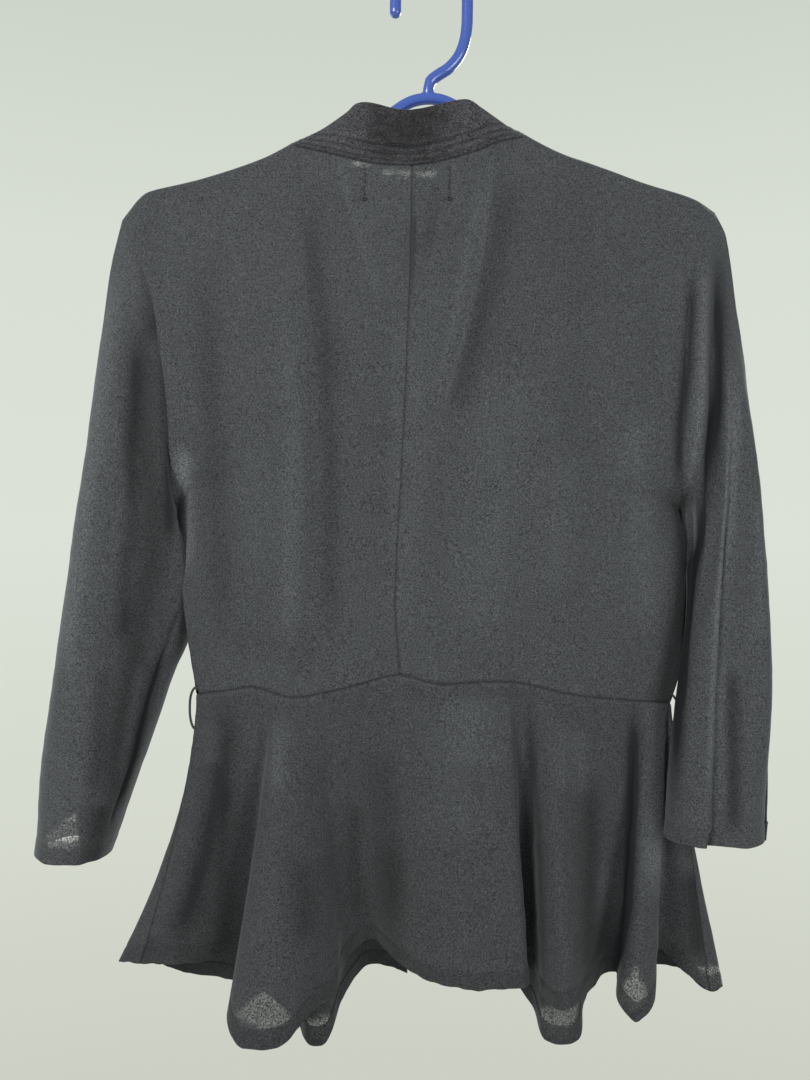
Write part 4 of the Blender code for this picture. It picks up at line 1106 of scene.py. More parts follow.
def share_seams(sheets: Sequence[ClothSheet], reach: float = 1.6) -> None:
    """Give the sheets that meet at a seam one normal there, so that they stay joined.

    Args:
        sheets: all the sheets of the garment.
        reach: how far apart points may lie that share a normal, in millimetres.
    """
    lines = [(sheet, key) for sheet in sheets for key in sheet.seam_keys()]
    points = np.vstack([edge_lines(sheet.grid)[key] for sheet, key in lines])
    normals = np.vstack([
        edge_lines(grid_normals(sheet.grid, sheet.closed) * sheet.outside)[key]
        for sheet, key in lines
    ])
    for sheet, key in lines:
        away = np.linalg.norm(edge_lines(sheet.grid)[key][:, None] - points[None], axis=2)
        weights = np.exp(-0.5 * (away / reach) ** 2)
        sheet.shared[key] = unit(weights @ normals)


@dataclass
class Bodice:
    """Back and front panels, from the shoulders to the waist seam."""

    step: float = 3.0
    shoulder_reach: float = 105.0
    over_rod: float = 6.3
    over_from: float = 0.4
    side_power: float = 2.4
    side_blend_rows: float = 3.0
    edge_fade: float = 0.2
    edge_columns: int = 6
    edge_reach: float = 24.0
    eased_times: int = 5
    front_bow: float = 4.0
    hole_length: float = 215.0
    side_length: float = 135.0
    neck_length: float = 90.0
    shoulder_length: float = 140.0
    soft_seam: float = 0.15
    tone: float = 0.96
    # How much the patches of painted shade darken the back
    painted_shade: float = 0.10
    see_through: float = 2.6
    smooth_beside_seam: float = 12.0
    band_ends: float = 0.2

    def hole_places(self) -> Array:
        """Shares of the armhole where rows of the cloth lie."""
        return closer_ends(self.hole_length, self.step, start=9.0, end=0.0)

    def row_places(self) -> Array:
        """Shares of a panel's height where its rows lie."""
        side = closer_ends(self.side_length, self.step, start=0.0)
        below = UNDERARM_SHARE + side[1:] * (1.0 - UNDERARM_SHARE)
        return np.concatenate([self.hole_places() * UNDERARM_SHARE, below])

    def outer_edge(self, side: Side, front: bool) -> Array:
        """Armhole and side seam of one panel.

        Args:
            side: side of the wearer.
            front: whether it is a front panel.

        Returns:
            One point for each row.
        """
        places = self.hole_places()
        hole = along(ARMHOLE[side], places)
        if front:
            inward = 1.0 if side is Side.LEFT else -1.0
            hole[:, 0] -= inward * self.front_bow * np.sin(np.pi * places)
            hole[:, 1] *= -1.0
        seam = along(SIDE_SEAM[side], closer_ends(self.side_length, self.step, start=0.0))[1:]
        return np.vstack([hole, seam])

    @staticmethod
    def patch(top: Array, low: Array, inner: Array, outer: Array, u: Array, v: Array) -> Array:
        """Grid between four edge curves.

        Args:
            top: upper edge, by u.
            low: lower edge, by u.
            inner: edge at the centre, by v.
            outer: edge at the side, by v.
            u: shares across.
            v: shares down.

        Returns:
            Points by row and column.
        """
        u, v = u[None, :, None], v[:, None, None]
        corners = (
            (1 - u) * (1 - v) * top[0] + u * (1 - v) * top[-1]
            + (1 - u) * v * low[0] + u * v * low[-1]
        )
        return (
            (1 - v) * top[None] + v * low[None] + (1 - u) * inner[:, None] + u * outer[:, None]
            - corners
        )

    def depth(self, grid: Array, top_y: Array, low_y: Array, outer_y: Array, middle: Array,
              u: Array, over: Array, rod_y: float) -> Array:
        """Depth of a panel: over the hanger at its top and folded back at its side.

        Args:
            grid: the panel's points.
            top_y: depth along its upper edge.
            low_y: depth along the waist.
            outer_y: depth along its outer edge.
            middle: stand-out of its middle.
            u: shares across.
            over: how far each column goes over the hanger.
            rod_y: depth of the cloth over the hanger's rod.

        Returns:
            The y of each point.
        """
        v = self.row_places()
        marks = np.concatenate([
            np.array(ROW_MARKS) * UNDERARM_SHARE,
            UNDERARM_SHARE + np.linspace(0.0, 1.0, SIDE_ROWS + 1)[1:] * (1.0 - UNDERARM_SHARE),
        ])
        rows = np.interp(v, marks, np.arange(len(marks), dtype=float))[:, None]
        below = np.clip((rows - (len(ROW_MARKS) - 1.0)) / self.side_blend_rows + 1.0, 0.0, 1.0)
        across = (1.0 - u[None, :] ** self.side_power) ** (1.0 - 0.5 * soft(below))
        out = outer_y[:, None] + (middle - outer_y[:, None]) * across
        drop = grid[0, :, 2][None] - grid[:, :, 2]
        grow = np.clip(drop / self.shoulder_reach, 0.0, 1.0)
        from_neck = top_y[None, :] * (1.0 - grow) + out * grow
        radius = abs(rod_y)
        begun = np.clip(np.abs(top_y) / radius, 0.0, 1.0)
        start = radius * (1.0 - np.sqrt(1.0 - begun**2))
        wrap = np.sqrt(1.0 - (1.0 - np.clip((drop + start[None, :]) / radius, 0.0, 1.0)) ** 2)
        round_rod = np.sign(rod_y) * np.maximum(np.abs(top_y)[None, :], radius * wrap)
        from_rod = round_rod * (1.0 - grow) + out * grow
        y = from_neck * (1.0 - over[None, :]) + from_rod * over[None, :]
        last = (rows / (len(marks) - 1.0)) ** 4
        return y * (1.0 - last) + low_y[None, :] * last

    @staticmethod
    def eased(y: Array, times: int) -> Array:
        """Depths eased across the columns, with the edges kept."""
        for _ in range(times):
            y[1:-1, 1:-1] = 0.5 * y[1:-1, 1:-1] + 0.25 * (y[1:-1, :-2] + y[1:-1, 2:])
        return y

    def met(self, grid: Array, y: Array, outer: Array) -> Array:
        """Depths that run into the armhole and side seam without a step.

        Args:
            grid: the panel's points.
            y: its depths.
            outer: its outer edge.

        Returns:
            The depths, changed near the outer edge.
        """
        last = self.edge_columns
        away = np.linalg.norm(grid[..., ::2] - outer[:, None, ::2], axis=2)
        level = y[:, -last - 1].copy()
        y[:, -last:] = level[:, None]
        return y + (outer[:, 1] - level)[:, None] * soft(1.0 - away / self.edge_reach)

    @staticmethod
    def inner_fade(grid: Array, reach: float) -> Array:
        """Share of the creases at each point, which die out toward the seams."""
        return soft(np.minimum.reduce(list(edge_distances(grid).values())) / reach)

    def dressed(self, name: str, grid: Array, outside: float, front: bool,
                necks: Array) -> ClothSheet:
        """Panel with its creases, from its smooth form.

        Args:
            name: the panel's name.
            grid: its smooth form.
            outside: which way its outer face looks.
            front: whether it is a front panel; a back has light and dark places.
            necks: 1 at the columns that meet the neck seam, else 0.

        Returns:
            The sheet to build.
        """
        x, z = grid[..., 0], grid[..., 2]
        height = crease_height(FRONT_CREASES if front else BACK_CREASES, x, z)
        height += ripple_height(x, z)
        height += 0.16 * cloth_noise(x, z, 9.0, 3) + 0.30 * cloth_noise(x, z * 0.6, 21.0, 14)
        rise, shade = line_marks(() if front else BACK_LINES, x, z)
        shade += line_marks(() if front else BACK_BANDS, *from_behind(grid), self.band_ends)[1]
        height = (height + rise) * self.inner_fade(grid, self.smooth_beside_seam)
        grid = grid + grid_normals(grid, False) * outside * height[..., None]
        broken = 0.55 + 0.45 * cloth_noise(x, z, 2.3, 15)
        return ClothSheet(
            name, grid, outside, SEAM, SEAM, SEAM, SEAM,
            sheer=patch_share(() if front else NECK_PATCHES, x, z) * broken * self.see_through,
            # Tone with the patches of painted shade and the painted shade and light of the back's
            # lines and bands
            tone=self.tone - self.painted_shade * patch_share(() if front else PAINTED_SHADE_PATCHES, x, z) + shade,
            firm={
                "top": np.maximum(necks, self.soft_seam)[None, :],
                "last": np.where(self.row_places() < UNDERARM_SHARE, self.soft_seam, 1.0)[:, None],
            },
        )

    def panel(self, side: Side, front: bool, u: Array, top: Array, over: Array,
              necks: Array) -> ClothSheet:
        """One panel between its four edges.

        Args:
            side: side of the wearer.
            front: whether it is a front panel.
            u: shares across.
            top: upper edge, by u.
            over: how far each column goes over the hanger.
            necks: 1 at the columns that meet the neck seam, else 0.

        Returns:
            The sheet to build.
        """
        centre, waist = (BAND_SEAM[side], WAIST_FRONT) if front else (CENTRE_BACK, WAIST_BACK)
        start_x, side_x = centre[-1].x, SIDE_SEAM[side][-1].x
        low = by_x(waist, start_x + (side_x - start_x) * u)
        inner, outer = along(centre, self.row_places()), self.outer_edge(side, front)
        grid = self.patch(top, low, inner, outer, u, self.row_places())
        middle = depth_at(FRONT_DEPTH if front else BACK_DEPTH, grid[:, :, 2])
        rod_y = -self.over_rod if front else self.over_rod
        y = self.depth(grid, top[:, 1], low[:, 1], outer[:, 1], middle, u, over, rod_y)
        pull = (1.0 - u[None, :]) ** 3 if front else np.zeros((1, len(u)))
        y = y * (1.0 - pull) + inner[:, 1][:, None] * pull
        edge = np.clip((1.0 - u[None, :]) / self.edge_fade, 0.0, 1.0)
        folds = fold_height(FRONT_FOLDS if front else BACK_FOLDS, grid[:, :, 0], grid[:, :, 2])
        y = self.met(grid, y + folds * edge * (1.0 - pull), outer)
        if front:
            y[0] = 0.0
        else:
            y[:, 0] = inner[:, 1]
        y[:, -1] = outer[:, 1]
        grid[:, :, 1] = self.eased(y, self.eased_times)
        name = f"{'front' if front else 'back'}_panel_{side.value}"
        outside = 1.0 if front == (side is Side.LEFT) else -1.0
        return self.dressed(name, grid, outside, front, necks)

    def back(self, side: Side) -> ClothSheet:
        """Half of the back on one side of the wearer."""
        neck = closer_ends(self.neck_length, self.step, end=0.0)
        columns = int(self.shoulder_length / self.step) + 1
        shoulder = np.sin(np.linspace(0.0, np.pi / 2, columns)[1:])
        u = np.concatenate([neck * NECK_PART, NECK_PART + (1.0 - NECK_PART) * shoulder])
        top = np.vstack([along(NECK[side], neck), along(SHOULDER[side], shoulder)])
        over = soft((u / NECK_PART - self.over_from) / (1.0 - self.over_from))
        return self.panel(side, False, u, top, over, soft((NECK_PART - u) / 0.02 + 1.0))

    def front(self, side: Side) -> ClothSheet:
        """Front on one side of the wearer."""
        places = closer_ends(self.shoulder_length, self.step, start=5.0, end=0.0)
        u = np.sin(0.5 * np.pi * places)
        top = along(SHOULDER[side], u)
        return self.panel(side, True, u, top, np.ones(len(u)), np.zeros(len(u)))


@dataclass
class StitchRow:
    """Row of machine stitches that follows a run of points on the cloth."""

    path: Array
    normals: Array
    length: float = 2.1
    gap: float = 0.8
    radius: float = 0.2
    sides: int = 6

    def mesh(self) -> tuple[Array, list]:
        """Points and faces of the stitches."""
        steps = np.concatenate([
            [0.0], np.cumsum(np.linalg.norm(np.diff(self.path, axis=0), axis=1))
        ])
        centres = np.arange(self.length, steps[-1] - self.length, self.length + self.gap)
        rings = ((-0.5, 0.35, -0.15), (-0.34, 1.0, 0.1), (0.34, 1.0, 0.1), (0.5, 0.35, -0.15))
        vertices: list[Array] = []
        faces: list = []

        def at(places: Array) -> Array:
            """Points of the run at distances along it."""
            return np.column_stack([np.interp(places, steps, self.path[:, k]) for k in range(3)])

        middle = at(centres)
        ahead = unit(at(centres + 0.5) - at(centres - 0.5))
        up = unit(np.column_stack([
            np.interp(centres, steps, self.normals[:, k]) for k in range(3)
        ]))
        beside = unit(np.cross(ahead, up))
        for n in range(len(centres)):
            base = len(vertices)
            for place, wide, rise in rings:
                centre = middle[n] + ahead[n] * place * self.length + up[n] * rise
                for k in range(self.sides):
                    turn = 2.0 * math.pi * k / self.sides
                    out = beside[n] * math.cos(turn) + up[n] * math.sin(turn)
                    vertices.append(centre + out * self.radius * wide)
            for ring in range(len(rings) - 1):
                a, b = base + ring * self.sides, base + (ring + 1) * self.sides
                for k in range(self.sides):
                    m = (k + 1) % self.sides
                    faces.append((a + k, b + k, b + m, a + m))
            faces.append(tuple(range(base, base + self.sides)))
            top = base + (len(rings) - 1) * self.sides
            faces.append(tuple(reversed(range(top, top + self.sides))))
        return np.array(vertices), faces


def joined(parts: Iterable[tuple[Array, list]]) -> tuple[Array, list]:
    """Points and faces of several meshes as one."""
    vertices: list[Array] = []
    faces: list = []
    base = 0
    for points, corners in parts:
        vertices.append(points)
        faces.extend(tuple(c + base for c in face) for face in corners)
        base += len(points)
    return np.vstack(vertices), faces


@dataclass
class CollarBand:
    """Doubled band round the neck and down both front edges to the waist."""

    bodice: Bodice
    rows: int = 28
    neck_points: int = 40
    thickness: float = 1.5
    stitch_lines: tuple[float, ...] = (3.6, 8.4, 14.5)
    pucker: float = 0.30
    smooth_edge: float = 3.0
    groove: float = 0.34
    tone: float = 1.36
    neck_shade: float = 0.70
    stitch_shade: float = 0.60
    stitch_light: float = 0.35

    def middle(self) -> Array:
        """Middle surface, columns from the left waist round the neck to the right."""
        across = np.linspace(0.0, 1.0, self.rows)
        v = self.bodice.row_places()
        neck = np.linspace(0.0, 1.0, self.neck_points)

        def run(front: dict, back: dict) -> Array:
            """One edge of the band, all the way along."""
            return np.vstack([
                along(front[Side.LEFT], v)[::-1], along(back[Side.LEFT], neck)[::-1][1:],
                along(back[Side.RIGHT], neck)[1:], along(front[Side.RIGHT], v)[1:],
            ])

        seam, edge = run(BAND_SEAM, NECK), run(BAND_EDGE_FRONT, BAND_EDGE_BACK)
        return seam[None] * (1.0 - across[:, None, None]) + edge[None] * across[:, None, None]

    def layers(self) -> tuple[Array, Array]:
        """Outer and inner faces of the band."""
        middle = self.middle()
        normals = -grid_normals(middle, False)
        down, run = run_over(middle)
        rise = 0.55 * cloth_noise(run, down * 1.6, 7.0, 5) + 0.45 * cloth_noise(run, down, 3.6, 8)
        rise = rise * self.pucker * fades(down, self.smooth_edge, self.smooth_edge)
        for line in self.stitch_lines:
            rise -= self.groove * np.exp(-(((down - line) / 1.1) ** 2))
        half = self.thickness / 2.0
        return middle + normals * (half + rise)[..., None], middle - normals * half

    def sheet(self) -> ClothSheet:
        """The sheet to build: outer face, folded top edge and inner face."""
        outer, inner = self.layers()
        fold = (outer[-1] + inner[-1]) / 2.0
        fold = fold + unit(outer[-1] - outer[-2]) * self.thickness * 0.45
        grid = np.concatenate([outer, fold[None], inner[::-1]])
        down, run = run_over(grid)
        tone = self.tone + 0.16 * cloth_noise(run, down, 14.0, 9)
        tone += 0.26 * cloth_noise(run, down, 3.4, 4)
        away = np.hypot((grid[..., 0] - 18.0) / 30.0, (grid[..., 2] + 112.0) / 24.0)
        tone -= self.neck_shade * soft(1.5 - away)
        for line in self.stitch_lines:
            tone -= self.stitch_shade * np.exp(-((down - line) ** 2))
            tone += self.stitch_light * np.exp(-(((down - line - 1.9) / 0.9) ** 2))
        return ClothSheet(
            "collar_band_cloth", grid, -1.0, SEAM, RAW, RAW, RAW,
            sheer=np.zeros(grid.shape[:2]), tone=tone, pucker=0.05, seam_dip=0.7,
        )

    def stitches(self) -> tuple[Array, list]:
        """Topstitching on the band's outer face, as points and faces."""
        outer, inner = self.layers()
        normals = unit(outer - inner)
        down, _ = run_over(outer)
        parts = []
        for line in self.stitch_lines:
            path, up = np.empty_like(outer[0]), np.empty_like(outer[0])
            for j in range(outer.shape[1]):
                for k in range(3):
                    path[j, k] = np.interp(line, down[:, j], outer[:, j, k])
                    up[j, k] = np.interp(line, down[:, j], normals[:, j, k])
            parts.append(StitchRow(path + up * 0.05, up).mesh())
        return joined(parts)


@dataclass
class Sleeve:
    """Three-quarter sleeve, set into the armhole and hemmed at the cuff."""

    side: Side
    bodice: Bodice
    step: float = 3.0
    length: float = 415.0
    head_share: float = 0.45
    fold_rise: float = 0.25
    fold_fall: float = 0.3
    hem_depth: float = 12.0
    turned_columns: int = 4
    # Painted light: the sleeves' cloth is a little lighter than the bodice's
    tone: float = 1.03
    front_crease: float = 0.25
    smooth_below_head: float = 12.0
    smooth_above_cuff: float = 10.0
    cuff_wave: float = 1.1
    cuff_wave_reach: float = 30.0
    band_ends: float = 0.18
    head_firm: float = 0.2

    def fold_rise_at(self, turn: Array, share: Array) -> Array:
        """Movement of the sleeve's points outward in y by its folds.

        Args:
            turn: each column's turn about the arm.
            share: each row's share of the sleeve's length.

        Returns:
            Movement by row and column.
        """
        total = np.zeros((len(share), len(turn)))
        for fold in SLEEVE_FOLDS[self.side]:
            gone = (share - fold.start) / (fold.end - fold.start)
            fade = np.where((gone > 0.0) & (gone <= 1.0), soft(gone / self.fold_rise), 0.0)
            if fold.end < 1.0:
                fade = fade * soft((1.0 - gone) / self.fold_fall)
            centre = (fold.turn_top + (fold.turn_low - fold.turn_top) * gone)[:, None]
            aside = (turn[None, :] - centre) / fold.half_width
            total += np.sign(centre) * fold.out * fade[:, None] * np.exp(-(aside**2))
        return total

    def form(self) -> Array:
        """Smooth form of the sleeve, rows from the armhole and columns round the arm."""
        places = self.bodice.hole_places()
        back = self.bodice.outer_edge(self.side, False)[:len(places)]
        front = self.bodice.outer_edge(self.side, True)[:len(places)]
        loop = np.vstack([back, front[::-1][1:-1]])
        turn = np.concatenate([places, -places[::-1][1:-1]])
        share = closer_ends(self.length, self.step, end=self.hem_depth + 1.0)
        outer, inner = along(SLEEVE_OUTER[self.side], share), along(SLEEVE_INNER[self.side], share)
        reach = ((1.0 - np.cos(np.pi * turn)) / 2.0)[None, :, None]
        line = outer[:, None] * (1.0 - reach) + inner[:, None] * reach
        table = array(SLEEVE_DEPTH[self.side])
        to_back = np.interp(share, table[:, 0], table[:, 1])[:, None]
        to_front = np.interp(share, table[:, 0], table[:, 2])[:, None]
        deep = np.where(turn[None, :] >= 0.0, to_back, to_front) * np.sin(np.pi * turn)[None, :]
        morph = soft(share / self.head_share)[:, None]
        grid = line + (loop - line[0])[None] * (1.0 - morph[..., None])
        grid[..., 1] = loop[None, :, 1] * (1.0 - morph) + (line[..., 1] + deep) * morph
        grid[..., 1] += self.fold_rise_at(turn, share)
        return grid

    def sheet(self) -> ClothSheet:
        """The sheet to build."""
        grid = self.form()
        outside = 1.0 if self.side is Side.LEFT else -1.0
        x, z = grid[..., 0], grid[..., 2]
        down, _ = run_over(grid)
        half = grid.shape[1] // 2
        on_back = np.zeros(grid.shape[:2])
        on_back[:, :half + 1] = 1.0
        seen_x, seen_z = from_behind(grid)
        creased = crease_height(SLEEVE_CREASES[self.side], x, z)
        height = creased * (self.front_crease + (1.0 - self.front_crease) * on_back)
        height += ripple_height(x + 31.0, z)
        height += 0.16 * cloth_noise(x + 40.0 * np.sign(grid[..., 1]), z, 8.0, 6)
        rise, shade = line_marks(SLEEVE_LINES[self.side], seen_x, seen_z)
        bend, band = line_marks(SLEEVE_BANDS[self.side], seen_x, seen_z, self.band_ends)
        rise, shade = rise + bend, shade + band
        height += rise * on_back
        height *= fades(down, self.smooth_below_head, self.smooth_above_cuff)
        if self.side is Side.RIGHT:
            away, share = line_away(SLEEVE_FOLD_EDGE, seen_x, seen_z)
            deep = SLEEVE_FOLD_DROP * soft(share / 0.5) * soft(away / 3.6)
            grid[..., 1] -= deep * on_back * soft((seen_x + 246.0) / 14.0)
        grid = grid + grid_normals(grid, True) * outside * height[..., None]
        angle = 2.0 * np.pi * np.arange(grid.shape[1]) / grid.shape[1]
        wave = cloth_noise(9.0 * np.cos(angle), 9.0 * np.sin(angle), 2.6, 23)
        near_cuff = soft(1.0 - (down[-1:] - down) / self.cuff_wave_reach)
        grid[..., 2] += self.cuff_wave * near_cuff * wave[None, :]
        columns = range(-self.turned_columns, self.turned_columns + 1)
        near_back = np.maximum.reduce([np.roll(on_back, k, axis=1) for k in columns])
        tone = self.tone + shade * near_back
        # Painted light and shade: the left sleeve's outer part is lighter and its part beside the
        # body darker
        if self.side is Side.LEFT:
            tone -= 0.10 * soft((seen_x - 190.0) / -14.0 + 0.5) - 0.05
        return ClothSheet(
            f"sleeve_cloth_{self.side.value}", grid, outside,
            SEAM, Edge(EdgeKind.HEM, self.hem_depth), RAW, RAW,
            sheer=light_share(LIGHT_PLACES, grid), tone=tone, closed=True,
            firm={"top": np.full((1, grid.shape[1]), self.head_firm)},
        )


@dataclass
class Peplum:
    """Flared skirt of the jacket, cut in a back and two fronts."""

    step: float = 2.6
    height: float = 200.0
    hem_depth: float = 12.0
    facing: float = 9.0
    ease_reach: float = 5.0
    # Painted shade: the peplum's cloth is darker than the bodice's
    tone: float = 0.82
    hem_tone: float = 0.22
    gathers: float = 0.30
    gathers_reach: float = 34.0
    smooth_below_waist: float = 9.0
    smooth_beside_edge: float = 10.0
    hem_wave_reach: float = 30.0
    band_ends: float = 0.22

    def form(self, flutes: Sequence[Flute], waist: Sequence[Point]) -> Array:
        """Smooth form of one piece, rows from the waist seam and columns along the hem.

        Args:
            flutes: its ridges and valleys, in order along the hem.
            waist: stations of the waist seam.

        Returns:
            Points by row and column.
        """
        starts = np.array([flute.waist_x for flute in flutes])
        hem_points = np.array([(flute.x, flute.y, flute.z) for flute in flutes])
        knots = shares(hem_points)
        length = np.linalg.norm(np.diff(hem_points, axis=0), axis=1).sum()
        places = closer_ends(length, self.step, start=10.0, end=10.0)
        even = np.linspace(0.0, 1.0, 600)
        x = smooth_run(np.interp(even, knots, starts), self.ease_reach)
        ease = smooth_run(np.interp(even, knots, [flute.ease for flute in flutes]), 9.0)
        x, ease = np.interp(places, even, x), np.interp(places, even, ease)
        top = by_x(waist, x)
        hem = hermite(knots, hem_points, places)
        share = closer_ends(self.height, self.step, end=self.hem_depth + 1.0)
        plan = share[:, None] ** ease[None, :]
        grid = np.empty((len(share), len(places), 3))
        grid[..., :2] = top[None, :, :2] + (hem - top)[None, :, :2] * plan[..., None]
        grid[..., 2] = top[None, :, 2] + (hem - top)[None, :, 2] * share[:, None]
        return grid

    def dressed(self, name: str, grid: Array, outside: float, creases: Sequence[Crease],
                bands: Sequence[Line], last: Edge) -> ClothSheet:
        """Piece of the peplum with its creases.

        Args:
            name: the piece's name.
            grid: its smooth form.
            outside: which way its outer face looks.
            creases: its creases.
            bands: shadows and lights of its soft folds.
            last: finish of its last side edge.

        Returns:
            The sheet to build.
        """
        x, z = grid[..., 0], grid[..., 2]
        down, across = run_over(grid)
        gathered = self.gathers * cloth_noise(across, down / 5.0, 6.5, 7)
        gathered *= soft(1.0 - down / self.gathers_reach)
        height = crease_height(creases, x, z) + 0.7 * ripple_height(across, z) + gathered
        height += 0.15 * cloth_noise(across, down, 9.0, 2)
        height *= fades(down, self.smooth_below_waist, self.smooth_beside_edge)
        inner = fades(across.T, self.smooth_beside_edge, self.smooth_beside_edge).T
        grid = grid + grid_normals(grid, False) * outside * (height * inner)[..., None]
        run = np.repeat(across[-1:], len(grid), axis=0)
        level = np.zeros_like(run)
        wave = 1.1 * cloth_noise(run, level, 13.0, 21) + 0.6 * cloth_noise(run, level, 5.0, 22)
        grid[..., 2] += wave * inner * soft(1.0 - (down[-1:] - down) / self.hem_wave_reach)
        # Painted highlight: a light line just below the waist seam, where the peplum's top edge
        # catches the light
        tone = self.tone + 0.12 * np.exp(-((down - 2.2) ** 2))
        tone += line_marks(bands, *from_behind(grid), self.band_ends)[1]
        return ClothSheet(
            name, grid, outside, SEAM, Edge(EdgeKind.HEM, self.hem_depth), SEAM, last,
            sheer=light_share(LIGHT_PLACES, grid), tone=tone, hem_tone=self.hem_tone,
        )

    def back(self) -> ClothSheet:
        """Back of the peplum."""
        grid = self.form(PEPLUM_BACK, WAIST_BACK)
        return self.dressed("peplum_cloth_back", grid, 1.0, PEPLUM_CREASES, PEPLUM_BANDS, SEAM)

    def front(self, side: Side) -> ClothSheet:
        """Front of the peplum on one side of the wearer."""
        grid = self.form(PEPLUM_FRONT[side], WAIST_FRONT)
        outside = -1.0 if side is Side.LEFT else 1.0
        return self.dressed(
            f"peplum_cloth_front_{side.value}", grid, outside, FRONT_PEPLUM_CREASES, (),
            Edge(EdgeKind.HEM, self.facing),
        )


@dataclass
class Rod:
    """Round rod or strand along a path, with rounded or joined ends."""

    path: Array
    radius: float
    sides: int = 16
    closed: bool = False
    first_up: tuple[float, float, float] = (0.0, 1.0, 0.0)

    def rounded(self) -> tuple[Array, Array]:
        """Path and radii with a rounded end at each end of the rod."""
        path = np.asarray(self.path, float)
        if self.closed:
            return path, np.full(len(path), self.radius)
        turns = np.linspace(0.08, 0.5 * math.pi, 6)
        first, last = unit(path[0] - path[1]), unit(path[-1] - path[-2])
        out = np.cos(turns)[:, None] * self.radius
        start, end = path[0] + first * (out - self.radius), path[-1] + last * (out - self.radius)
        inside = path[1:-1]
        kept = np.minimum(
            np.linalg.norm(inside - path[0], axis=1), np.linalg.norm(inside - path[-1], axis=1)
        ) > self.radius * 1.05
        radii = np.sin(turns) * self.radius
        whole = np.vstack([start, inside[kept], end[::-1]])
        return whole, np.concatenate([radii, np.full(kept.sum(), self.radius), radii[::-1]])

    def mesh(self) -> tuple[Array, list]:
        """Points and faces of the rod."""
        path, radii = self.rounded()
        if self.closed:
            ahead = np.roll(path, -1, axis=0) - np.roll(path, 1, axis=0)
        else:
            ahead = np.gradient(path, axis=0)
        ahead = unit(ahead)
        up = np.array(self.first_up)
        rings = []
        turns = 2.0 * np.pi * (np.arange(self.sides) + 0.5) / self.sides
        for point, forward, radius in zip(path, ahead, radii):
            up = unit(up - forward * float(np.dot(up, forward)))
            beside = np.cross(forward, up)
            ring = np.cos(turns)[:, None] * beside + np.sin(turns)[:, None] * up
            rings.append(point + radius * ring)
        faces: list = []
        count, sides = len(path), self.sides
        for i in range(count if self.closed else count - 1):
            a, b = i * sides, ((i + 1) % count) * sides
            for k in range(sides):
                m = (k + 1) % sides
                faces.append((a + m, a + k, b + k, b + m))
        if not self.closed:
            faces.append(tuple(range(sides)))
            faces.append(tuple(reversed(range((count - 1) * sides, count * sides))))
        return np.vstack(rings), faces


@dataclass
class BeltLoop:
    """Loop of worked thread at a side seam, knotted at both ends."""

    side: Side
    strands: int = 3
    strand_radius: float = 0.48
    lay: float = 0.48
    twist: float = 1.15
    step: float = 0.6
    knot_radius: float = 1.25
    reach: float = 2.4
    closer: float = 2.2

    def path(self) -> Array:
        """Points along the loop, whose ends go into the seam."""
        rows = array(LOOPS[self.side])
        inward = np.array([-math.copysign(1.0, rows[0, 0]), 0.0, 0.0])
        rows = rows + inward * self.closer
        ends = inward * self.reach
        return spaced([rows[0] + ends, *rows, rows[-1] + ends], self.step)

    def mesh(self) -> tuple[Array, list]:
        """Points and faces of the loop."""
        path = self.path()
        ahead = unit(np.gradient(path, axis=0))
        forward = np.array([0.0, 1.0, 0.0])
        beside = unit(np.cross(ahead, forward))
        run = np.arange(len(path)) * self.step * self.twist
        parts = []
        for k in range(self.strands):
            turn = run + 2.0 * math.pi * k / self.strands
            strand = path + self.lay * (
                np.cos(turn)[:, None] * beside + np.sin(turn)[:, None] * forward
            )
            parts.append(Rod(strand, self.strand_radius, 8).mesh())
        for end, way in ((path[0], ahead[0]), (path[-1], ahead[-1])):
            parts.append(self.knot(end, way))
        return joined(parts)

    def knot(self, centre: Array, way: Array) -> tuple[Array, list]:
        """Turns of thread round one end of the loop.

        Args:
            centre: middle of the knot.
            way: direction of the loop there.

        Returns:
            Points and faces of the knot.
        """
        forward = np.array([0.0, 1.0, 0.0])
        beside = unit(np.cross(way, forward))
        turn = np.linspace(0.0, 5.5 * math.pi, 60)
        rise = np.linspace(-0.9, 0.9, 60)
        wide = self.knot_radius * np.sqrt(np.clip(1.1 - (rise / 1.2) ** 2, 0.1, 1.0))
        spot = centre + rise[:, None] * way
        spot = spot + (wide * 0.75 * np.cos(turn))[:, None] * beside
        spot = spot + (wide * 0.75 * np.sin(turn))[:, None] * forward
        return Rod(spot, self.strand_radius, 8, first_up=tuple(way)).mesh()


